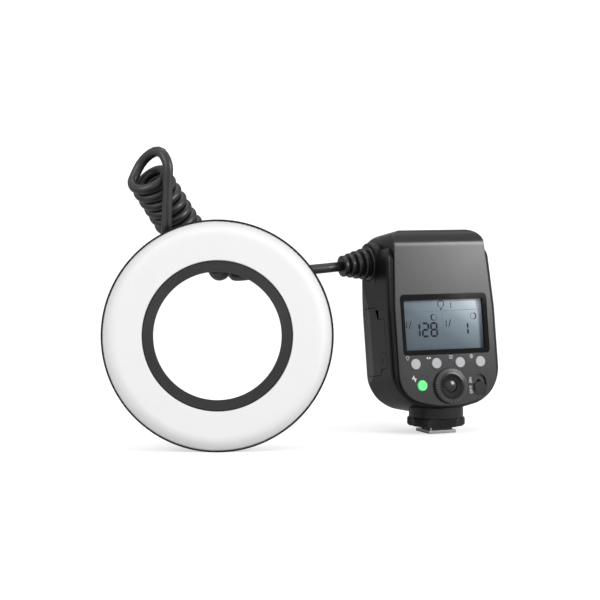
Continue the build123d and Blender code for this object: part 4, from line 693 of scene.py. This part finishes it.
class Finish:
    """A material with one shader, and the places that its patterns are drawn in."""

    def __init__(self, name, **constants):
        self.material = bpy.data.materials.new(name)
        self.material.use_nodes = True
        self.tree = self.material.node_tree
        self.shader = self.tree.nodes["Principled BSDF"]
        for key, value in constants.items():
            self.shader.inputs[key.replace("_", " ")].default_value = value
        self.start = Signal(self.tree, self.tree.nodes.new("ShaderNodeTexCoord").outputs["Object"])

    def unit_mm(self):
        """The unit's own frame in millimetres: the turn and the scale taken off the object's."""
        turn = (math.radians(-UNIT_LEAN), 0, math.radians(UNIT_YAW))
        inputs = {0: self.start, 2: turn, 3: (0.001, 0.001, 0.001)}
        return self.start.node("Mapping", {"vector_type": "TEXTURE"}, inputs)

    def ring_mm(self):
        """The ring's own frame in millimetres."""
        turn = (math.radians(90 - RING_LEAN), 0, 0)
        place = tuple(RING_CENTRE / 1000)
        inputs = {0: self.start, 1: place, 2: turn, 3: (0.001, 0.001, 0.001)}
        return self.start.node("Mapping", {"vector_type": "TEXTURE"}, inputs)

    def noise(self, place, per_metre, detail=2.0):
        """Clouds round 0.5, so many to a metre of the place they are drawn in."""
        inputs = {"Vector": place, "Scale": per_metre, "Detail": detail}
        return self.start.node("TexNoise", {}, inputs)

    def set(self, **links):
        """Links signals to the shader's sockets."""
        for key, signal in links.items():
            self.tree.links.new(signal.socket, self.shader.inputs[key.replace("_", " ")])

    def bump(self, height, strength, depth):
        """Raises the surface by a height signal, times a depth in metres."""
        inputs = {"Strength": strength, "Distance": depth, "Height": height}
        self.set(Normal=self.start.node("Bump", {}, inputs))


def vary(colour, share):
    """A colour made darker or lighter by a share."""
    return tuple(min(1.0, c * share) for c in colour)


def put(finish, *nodes):
    """Gives a CAD node's object, or a new piece, its material."""
    for name in nodes:
        mesh = bpy.data.objects[name].data
        mesh.materials.clear()
        mesh.materials.append(finish.material)


print("materials before the first finish:", len(bpy.data.materials))

# %% [markdown]
# Most of the flash is injection-moulded plastic. The steel mould is spark-eroded, which leaves a
# fine even grain on the part, so a highlight on it is soft and slightly speckled. Clouds about two
# centimetres wide shift the colour and the roughness by a few percent, as handling does. The
# numbers after a finish's colour are its roughness, the size of its grain in millimetres, the
# grain's height in metres, and how strongly the surface mirrors at a right angle.

# %% Moulded plastic and rubber


def moulded(name, colour, roughness, grain_mm, relief, mirror=0.5, **constants):
    """Plastic or rubber: clouds vary its colour and roughness, and a fine grain its height."""
    finish = Finish(name, Specular_IOR_Level=mirror, **constants)
    cloud = finish.noise(finish.start, 45, 3)
    grain = finish.noise(finish.start, 1000 / grain_mm, 2)
    finish.set(Base_Color=cloud.mixed(vary(colour, 0.86), vary(colour, 1.14)))
    finish.set(Roughness=cloud * 0.1 + grain * 0.08 + (roughness - 0.09))
    finish.bump(grain, 0.6, relief)
    return finish


shell = moulded("shell_plastic", (0.005, 0.005, 0.0055), 0.3, 0.32, 0.00002, 0.26)
panel = moulded("panel_plastic", (0.009, 0.009, 0.0095), 0.22, 0.3, 0.00001, 0.44)
ring_body = moulded("ring_plastic", (0.009, 0.009, 0.01), 0.4, 0.3, 0.00002, 0.3)
cone = moulded("cone_plastic", (0.014, 0.014, 0.015), 0.5, 0.5, 0.00003, 0.3)
wheel = moulded("dial_plastic", (0.005, 0.005, 0.0055), 0.24, 0.2, 0.00001, 0.3)
cap = moulded("cap_plastic", (0.01, 0.01, 0.011), 0.16, 0.6, 0.000005)
rubber = moulded("boot_rubber", (0.008, 0.008, 0.0085), 0.32, 0.25, 0.00002)
inner = moulded("inner_plastic", (0.03, 0.03, 0.032), 0.5, 0.4, 0.00002)
keys = moulded("key_silicone", (0.42, 0.42, 0.44), 0.42, 0.25, 0.00002, 0.4)
green_key = moulded(
    "test_key", (0.12, 0.78, 0.24), 0.3, 0.5, 0.00001, Emission_Strength=0.15
)
green_key.shader.inputs["Emission Color"].default_value = (0.2, 1.0, 0.36, 1)
put(shell, "main_shell", "rear_cover", "battery_case", "battery_latch", "power_switch")
put(panel, "front_cover")
put(ring_body, "ring_shell", "mount_collar", "release_left", "release_right")
put(ring_body, "pedestal", "lock_ring")
put(cone, "inner_cone")
put(wheel, "dial")
put(cap, "set_button", "set_button_cap")
put(rubber, "cable_boot", "unit_boot", "ring_boot", "ring_boot_soft", "port_cover")
put(inner, "dial_encoder", "switch_module", "socket_block", "foot_block", "tube_holders")
put(keys, "button_lamp", "button_arrows", "button_menu", "button_ratio")
put(green_key, "test_button")
moulds = (shell, panel, ring_body, cone, wheel, cap, rubber, inner, keys, green_key)
print("moulded finishes:", [finish.material.name for finish in moulds])

# %% [markdown]
# The tips of the dial's teeth are painted pale, a painted highlight where light would catch them,
# and the grooves between them keep the plastic's black. The teeth stand on a circle, so the cosine
# of the angle round the dial's axis, times the number of teeth, is 1 in each groove and -1 on each
# tip.

# %% The dial's teeth, with a painted highlight on their tips
DIAL_TEETH = 60
TEETH_FROM_R = 8.3
place = wheel.unit_mm()
across, up = place.part("X") - DIAL_MIDDLE[0], place.part("Z") - DIAL_MIDDLE[2]
angle = up.math("ARCTAN2", up, across)
grooves = angle.math("COSINE", angle * DIAL_TEETH)
reach = up.math("SQRT", across * across + up * up)
# painted highlight: beyond TEETH_FROM_R the tips of the teeth are painted pale and the grooves
# stay black
painted_highlit = reach.above(TEETH_FROM_R, 0.8) * (0.5 - grooves * 0.5)
wheel.set(Base_Color=painted_highlit.mixed((0.003, 0.003, 0.0035), (0.13, 0.13, 0.132)))
print("teeth with rubbed tips:", DIAL_TEETH)

# %% [markdown]
# The ring's front is opal acrylic, which scatters light in its depth. Towards its outer edge the
# front curves back, and there its white is painted greyer, a painted shade where the curved edge
# turns away from the light.

# %% The opal front
RIM_R = 63.5
RIM_BLEND = 6.0
opal = Finish("opal_acrylic", Specular_IOR_Level=0.35)
place = opal.ring_mm()
x, y = place.part("X"), place.part("Y")
# painted shade: the opal's white is painted greyer near its outer edge
painted_edge_shade = x.math("SQRT", x * x + y * y).above(RIM_R, RIM_BLEND)
milk = opal.noise(opal.start, 60, 2)
white = milk.mixed((0.88, 0.88, 0.88), (0.9, 0.9, 0.9))
opal.set(Base_Color=painted_edge_shade.mixed(white, (0.7, 0.7, 0.7)))
grain = opal.noise(opal.start, 2900, 2)
opal.set(Roughness=milk * 0.1 + grain * 0.08 + 0.41)
opal.bump(grain, 0.6, 0.00002)
put(opal, "diffuser")
print("the opal front turns greyer from a radius of", RIM_R - RIM_BLEND / 2, "mm")

# %% [markdown]
# The cord's sheath is extruded, so its fine marks run along it and not across the room. The grain
# is drawn in the place that the tube kept for the straight cord, squeezed to long thin streaks.

# %% The cord's sheath
STREAKS_PER_METRE = (120, 1400, 1400)
sheath = Finish("cord_sheath", Specular_IOR_Level=0.55)
straight = sheath.start.node("Attribute", {"attribute_name": "straight"}, {}, output=1)
streaks = sheath.start.node("Mapping", {}, {0: straight, 3: STREAKS_PER_METRE})
fine = sheath.noise(streaks, 1.0, 2)
patches = sheath.noise(straight, 70, 2)
sheath.set(Base_Color=patches.mixed((0.008, 0.008, 0.009), (0.014, 0.014, 0.015)))
sheath.set(Roughness=patches * 0.14 + fine * 0.08 + 0.27)
sheath.bump(fine, 0.5, 0.00002)
put(sheath, "cord", "cord_tail", "cord_coil", "cord_lead")
print("the sheath's streaks are about", round(1000 / STREAKS_PER_METRE[0]), "mm long")

# %% [markdown]
# The window is one glossy plate with a black border printed behind it, wider at the right and at
# the top. Inside it the plate is clear, which here is a low alpha, so that the display behind
# shows through. The display itself is grey-blue glass, and its colour is painted brighter towards
# the upper right, a painted sheen.

# %% Window and display
CLEAR_X = (-27.6, 26.7)
CLEAR_Z = (49.6, 80.2)
GLASS_FRONT_Y = -19.2
window = Finish("window_acrylic", Specular_IOR_Level=0.13, IOR=1.49)
window.shader.inputs["Base Color"].default_value = (0.004, 0.004, 0.005, 1)
place = window.unit_mm()
clear = place.part("X").within(*CLEAR_X, 0.12) * place.part("Z").within(*CLEAR_Z, 0.12)
wiped = window.noise(window.start, 300, 4)
window.set(Alpha=1 - clear * 0.94, Roughness=wiped * 0.06 + 0.04)
put(window, "lcd_window")

glass = Finish("display_glass", Specular_IOR_Level=0.3)
place = glass.unit_mm()
x, z = place.part("X"), place.part("Z")
# painted sheen: the display's grey-blue is painted brighter towards the upper right
painted_sheen_level = x * 0.0098 + z * 0.017 + glass.noise(glass.start, 30, 1) * 0.06 - 0.69
stops = [
    (0.0, (0.075, 0.11, 0.14)),
    (0.35, (0.11, 0.155, 0.19)),
    (0.6, (0.22, 0.285, 0.335)),
    (0.8, (0.5, 0.58, 0.64)),
    (0.9, (0.78, 0.86, 0.92)),
]
display_colour_and_painted_sheen = glass.start.node("ValToRGB", {"stops": stops}, {0: painted_sheen_level})
behind = place.part("Y").above(GLASS_FRONT_Y, 0.1)
glass.set(Base_Color=behind.mixed(display_colour_and_painted_sheen, (0.05, 0.05, 0.05)))
glass.set(Roughness=glass.noise(glass.start, 200, 2) * 0.1 + 0.2)
put(glass, "lcd_module")
print("the window is clear over", round(CLEAR_X[1] - CLEAR_X[0], 1), "mm of its width")

# %% [markdown]
# Printed ink is never quite even, so a fine noise shades it. The figures are almost black, the
# rules between the display's fields are faint, and the signs on the panel are white.

# %% Inks


def ink(name, dark, pale, smooth, rough, mirror, per_metre):
    """Ink whose noise runs from a dark and smooth shade to a pale and rough one."""
    finish = Finish(name, Specular_IOR_Level=mirror)
    shade = finish.noise(finish.start, per_metre, 2)
    finish.set(Base_Color=shade.mixed(dark, pale), Roughness=shade * (rough - smooth) + smooth)
    return finish


black = ink("display_ink", (0.003, 0.006, 0.01), (0.007, 0.012, 0.018), 0.3, 0.4, 0.1, 900)
faint = ink("display_faint_ink", (0.07, 0.1, 0.12), (0.1, 0.13, 0.16), 0.3, 0.4, 0.3, 900)
paint = ink("white_print", (0.6, 0.6, 0.61), (0.74, 0.74, 0.75), 0.4, 0.6, 0.3, 1200)
put(black, "display_figures")
put(faint, "display_rules")
put(paint, "panel_signs")
print("inks:", [finish.material.name for finish in (black, faint, paint)])

# %% [markdown]
# The bright parts are metal. The foot is stamped and plated steel with faint brush lines, the
# screws and springs are plain steel, the contacts have a thin layer of gold, and the troughs
# behind the flash tubes are rolled aluminium with a hammered surface that spreads the light.

# %% Metals


def brushed(name, colour, roughness, scale, relief):
    """Metal with brush lines: noise squeezed along one side, which moves roughness and height."""
    finish = Finish(name, Metallic=1.0)
    lines = finish.noise(finish.start.node("Mapping", {}, {0: finish.start, 3: scale}), 1.0, 3)
    finish.set(Base_Color=lines.mixed(vary(colour, 0.9), vary(colour, 1.08)))
    finish.set(Roughness=lines * 0.14 + (roughness - 0.07))
    finish.bump(lines, 0.4, relief)
    return finish


plated = brushed("plated_steel", (0.8, 0.8, 0.81), 0.2, (90, 2200, 2200), 0.000006)
steel = brushed("plain_steel", (0.5, 0.5, 0.52), 0.32, (700, 700, 3000), 0.00001)
gold = brushed("gold_plating", (0.8, 0.58, 0.22), 0.24, (900, 900, 900), 0.000005)
trough = brushed("rolled_aluminium", (0.84, 0.84, 0.85), 0.16, (500, 500, 500), 0.0001)
put(plated, "foot_plate")
put(steel, "case_screws", "ring_screws", "foot_screws", "lock_pin", "latch_spring")
put(steel, "release_springs_left", "release_springs_right")
put(gold, "shoe_contacts", "bay_contacts", "battery_terminals")
put(trough, "reflector_left", "reflector_right")
print("metals:", [finish.material.name for finish in (plated, steel, gold, trough)])

# %% [markdown]
# Inside the unit are two boards. They show when a cover is off, so they have tracks under green
# varnish and black chips. The tracks are the edges of the cells of a Voronoi pattern, which stay
# thin and closed like real ones. The ring holds small white boards with yellow lamp chips.

# %% Boards and lamp chips
varnish = Finish("board_varnish", Specular_IOR_Level=0.5, Roughness=0.3)
place = varnish.unit_mm()
inputs = {"Vector": place, "Scale": 0.45, "Randomness": 0.6}
cells = varnish.start.node("TexVoronoi", {"feature": "DISTANCE_TO_EDGE"}, inputs)
tracks = 1 - cells.above(0.09, 0.04)
green = tracks.mixed((0.012, 0.07, 0.03), (0.03, 0.16, 0.07))
chips = 1 - place.part("Y").above(-13.5, 0.1)
varnish.set(Base_Color=chips.mixed(green, (0.012, 0.012, 0.013)), Roughness=chips * 0.2 + 0.26)
varnish.bump(tracks, 0.5, 0.00003)
put(varnish, "main_board", "keypad_board")

lamp_board = Finish("lamp_board", Roughness=0.35)
dust = lamp_board.noise(lamp_board.start, 400, 3)
lamp_board.set(Base_Color=dust.mixed((0.6, 0.6, 0.58), (0.72, 0.72, 0.7)))
put(lamp_board, "led_boards")
phosphor = Finish("lamp_phosphor", Roughness=0.3)
dust = phosphor.noise(phosphor.start, 1500, 2)
phosphor.set(Base_Color=dust.mixed((0.8, 0.62, 0.12), (0.9, 0.76, 0.24)))
put(phosphor, "led_chips")
print("boards:", [finish.material.name for finish in (varnish, lamp_board)])

# %% [markdown]
# The capacitor that stores the flash is a roll in a dark shrunk sleeve with a pale stripe and bare
# metal ends. The transformer is copper wire wound side by side between two black flanges. A sine
# along its axis gives the wires their height. The same sine paints each wire's crown lighter and
# the grooves between the wires darker, a painted highlight and a painted shade.

# %% Capacitor and transformer
sleeve = Finish("capacitor_sleeve", Roughness=0.3)
place = sleeve.unit_mm()
ends = 1 - place.part("X").within(-25.1, 19.1, 0.2)
stripe = place.part("Z").above(96.6, 0.3)
wrap = stripe.mixed((0.012, 0.014, 0.03), (0.4, 0.4, 0.42))
sleeve.set(Base_Color=ends.mixed(wrap, (0.75, 0.75, 0.76)), Metallic=ends)
put(sleeve, "flash_capacitor")

WIRE_WAVE = 15.7
winding = Finish("winding", Roughness=0.3)
place = winding.unit_mm()
x = place.part("X")
flange = 1 - x.within(12.55, 25.45, 0.1)
wires = x.math("SINE", x * WIRE_WAVE)
# painted highlight on each wire's crown and painted shade between the wires
copper = (wires * 0.5 + 0.5).mixed((0.25, 0.1, 0.04), (0.75, 0.36, 0.16))
winding.set(Base_Color=flange.mixed(copper, (0.02, 0.02, 0.02)), Metallic=1 - flange)
winding.bump(wires, 0.6, 0.0001)
put(winding, "transformer")
print("a wire of the winding is", round(2 * math.pi / WIRE_WAVE, 2), "mm wide")

# %% [markdown]
# The flash tubes are clear quartz. The shader lets light through and bends it, and a trace of
# noise in the roughness stands for handling. They are the last pieces, so the cell also lists any
# piece that was forgotten.

# %% Flash tubes
quartz = Finish("quartz", Transmission_Weight=1.0, IOR=1.46)
quartz.set(Roughness=quartz.noise(quartz.start, 300, 2) * 0.05 + 0.01)
put(quartz, "flash_tube_left", "flash_tube_right")
bare = [o.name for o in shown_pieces() if not o.data.materials or not o.data.materials[0].name]
print("pieces without a finish:", bare)

# %% [markdown]
# The studio is a white sweep: a floor that curves up into a wall behind. The picture's ground is
# pure white, so the sweep is brighter to the camera than the lamps make it, and the floor still
# takes the soft shadow. Far from the object, where the lamps reach less, the sweep is brighter
# again, so that no edge of it shows against the world.

# %% The white sweep
arc = np.linspace(0, math.pi / 2, 12)
depth = np.concatenate([[-3.0], 1.5 + np.sin(arc), [2.5]])
height = np.concatenate([[0.0], 1 - np.cos(arc), [3.0]])
sweep_points = [[(x, y, z) for x in (-4.0, 4.0)] for y, z in zip(depth, height)]
sweep_faces = [(2 * i, 2 * i + 1, 2 * i + 3, 2 * i + 2) for i in range(len(depth) - 1)]
sweep = add_piece("sweep", sweep_points, sweep_faces)
paper = Finish("sweep_paper", Roughness=0.9, Specular_IOR_Level=0.0)
paper.shader.inputs["Base Color"].default_value = (0.68, 0.68, 0.68, 1)
paper.shader.inputs["Emission Color"].default_value = (1, 1, 1, 1)
ray = paper.tree.nodes.new("ShaderNodeLightPath")
camera_ray = Signal(paper.tree, ray.outputs["Is Camera Ray"])
away = paper.start.node("VectorMath", {"operation": "LENGTH"}, {0: paper.start}, output=1)
paper.set(Emission_Strength=camera_ray * (away.above(1.3, 1.8) * 0.2 + 0.62))
put(paper, "sweep")
print("the sweep is", round(float(height.max()), 1), "m high")

# %% [markdown]
# The world behind the sweep is white as well. It is full white where the camera sees it, directly,
# mirrored or through glass, and half as bright where it only lights the object. That leaves the
# shaping of the object to the lamps.

# %% The world
world = bpy.data.worlds.new("studio")
bpy.context.scene.world = world
world.use_nodes = True
sky = world.node_tree
sky.nodes.clear()
ray = sky.nodes.new("ShaderNodeLightPath")
kinds = ("Is Camera Ray", "Is Glossy Ray", "Is Transmission Ray")
camera_ray, glossy_ray, through_ray = (Signal(sky, ray.outputs[kind]) for kind in kinds)
strength = camera_ray.either(glossy_ray).either(through_ray) * 0.5 + 0.5
ground = strength.node("Background", {}, {"Color": (1, 1, 1, 1), "Strength": strength})
out = sky.nodes.new("ShaderNodeOutputWorld")
sky.links.new(ground.socket, out.inputs[0])
print("the world's nodes:", len(sky.nodes))

# %% [markdown]
# Three soft boxes light the object. The one at the right stands near the place that the panel
# mirrors to the camera, a little above and beside it, so its soft edge draws the sheen across the
# panel and the window. The wide one at the left lights the ring and the unit's side, the top one
# the coil and the unit's shoulder.

# %% Soft boxes


def soft_box(name, place, target, size, power):
    """A rectangular lamp of so many watts at a place, turned so that it looks at a target."""
    data = bpy.data.lights.new(name, "AREA")
    data.shape = "RECTANGLE"
    data.size, data.size_y = size
    data.energy = power
    lamp = bpy.data.objects.new(name, data)
    bpy.context.scene.collection.objects.link(lamp)
    lamp.location = place
    lamp.rotation_euler = (Vector(target) - Vector(place)).to_track_quat("-Z", "Y").to_euler()


soft_box("box_right", (1.015, -0.551, 0.558), (0.0, 0.0, 0.08), (0.44, 0.44), 9.0)
soft_box("box_left", (-1.05, -0.9, 0.8), (-0.1, -0.05, 0.08), (0.8, 0.9), 8.0)
soft_box("box_top", (-0.15, 0.1, 1.2), (-0.07, -0.03, 0.05), (0.9, 0.6), 2.0)

# %% [markdown]
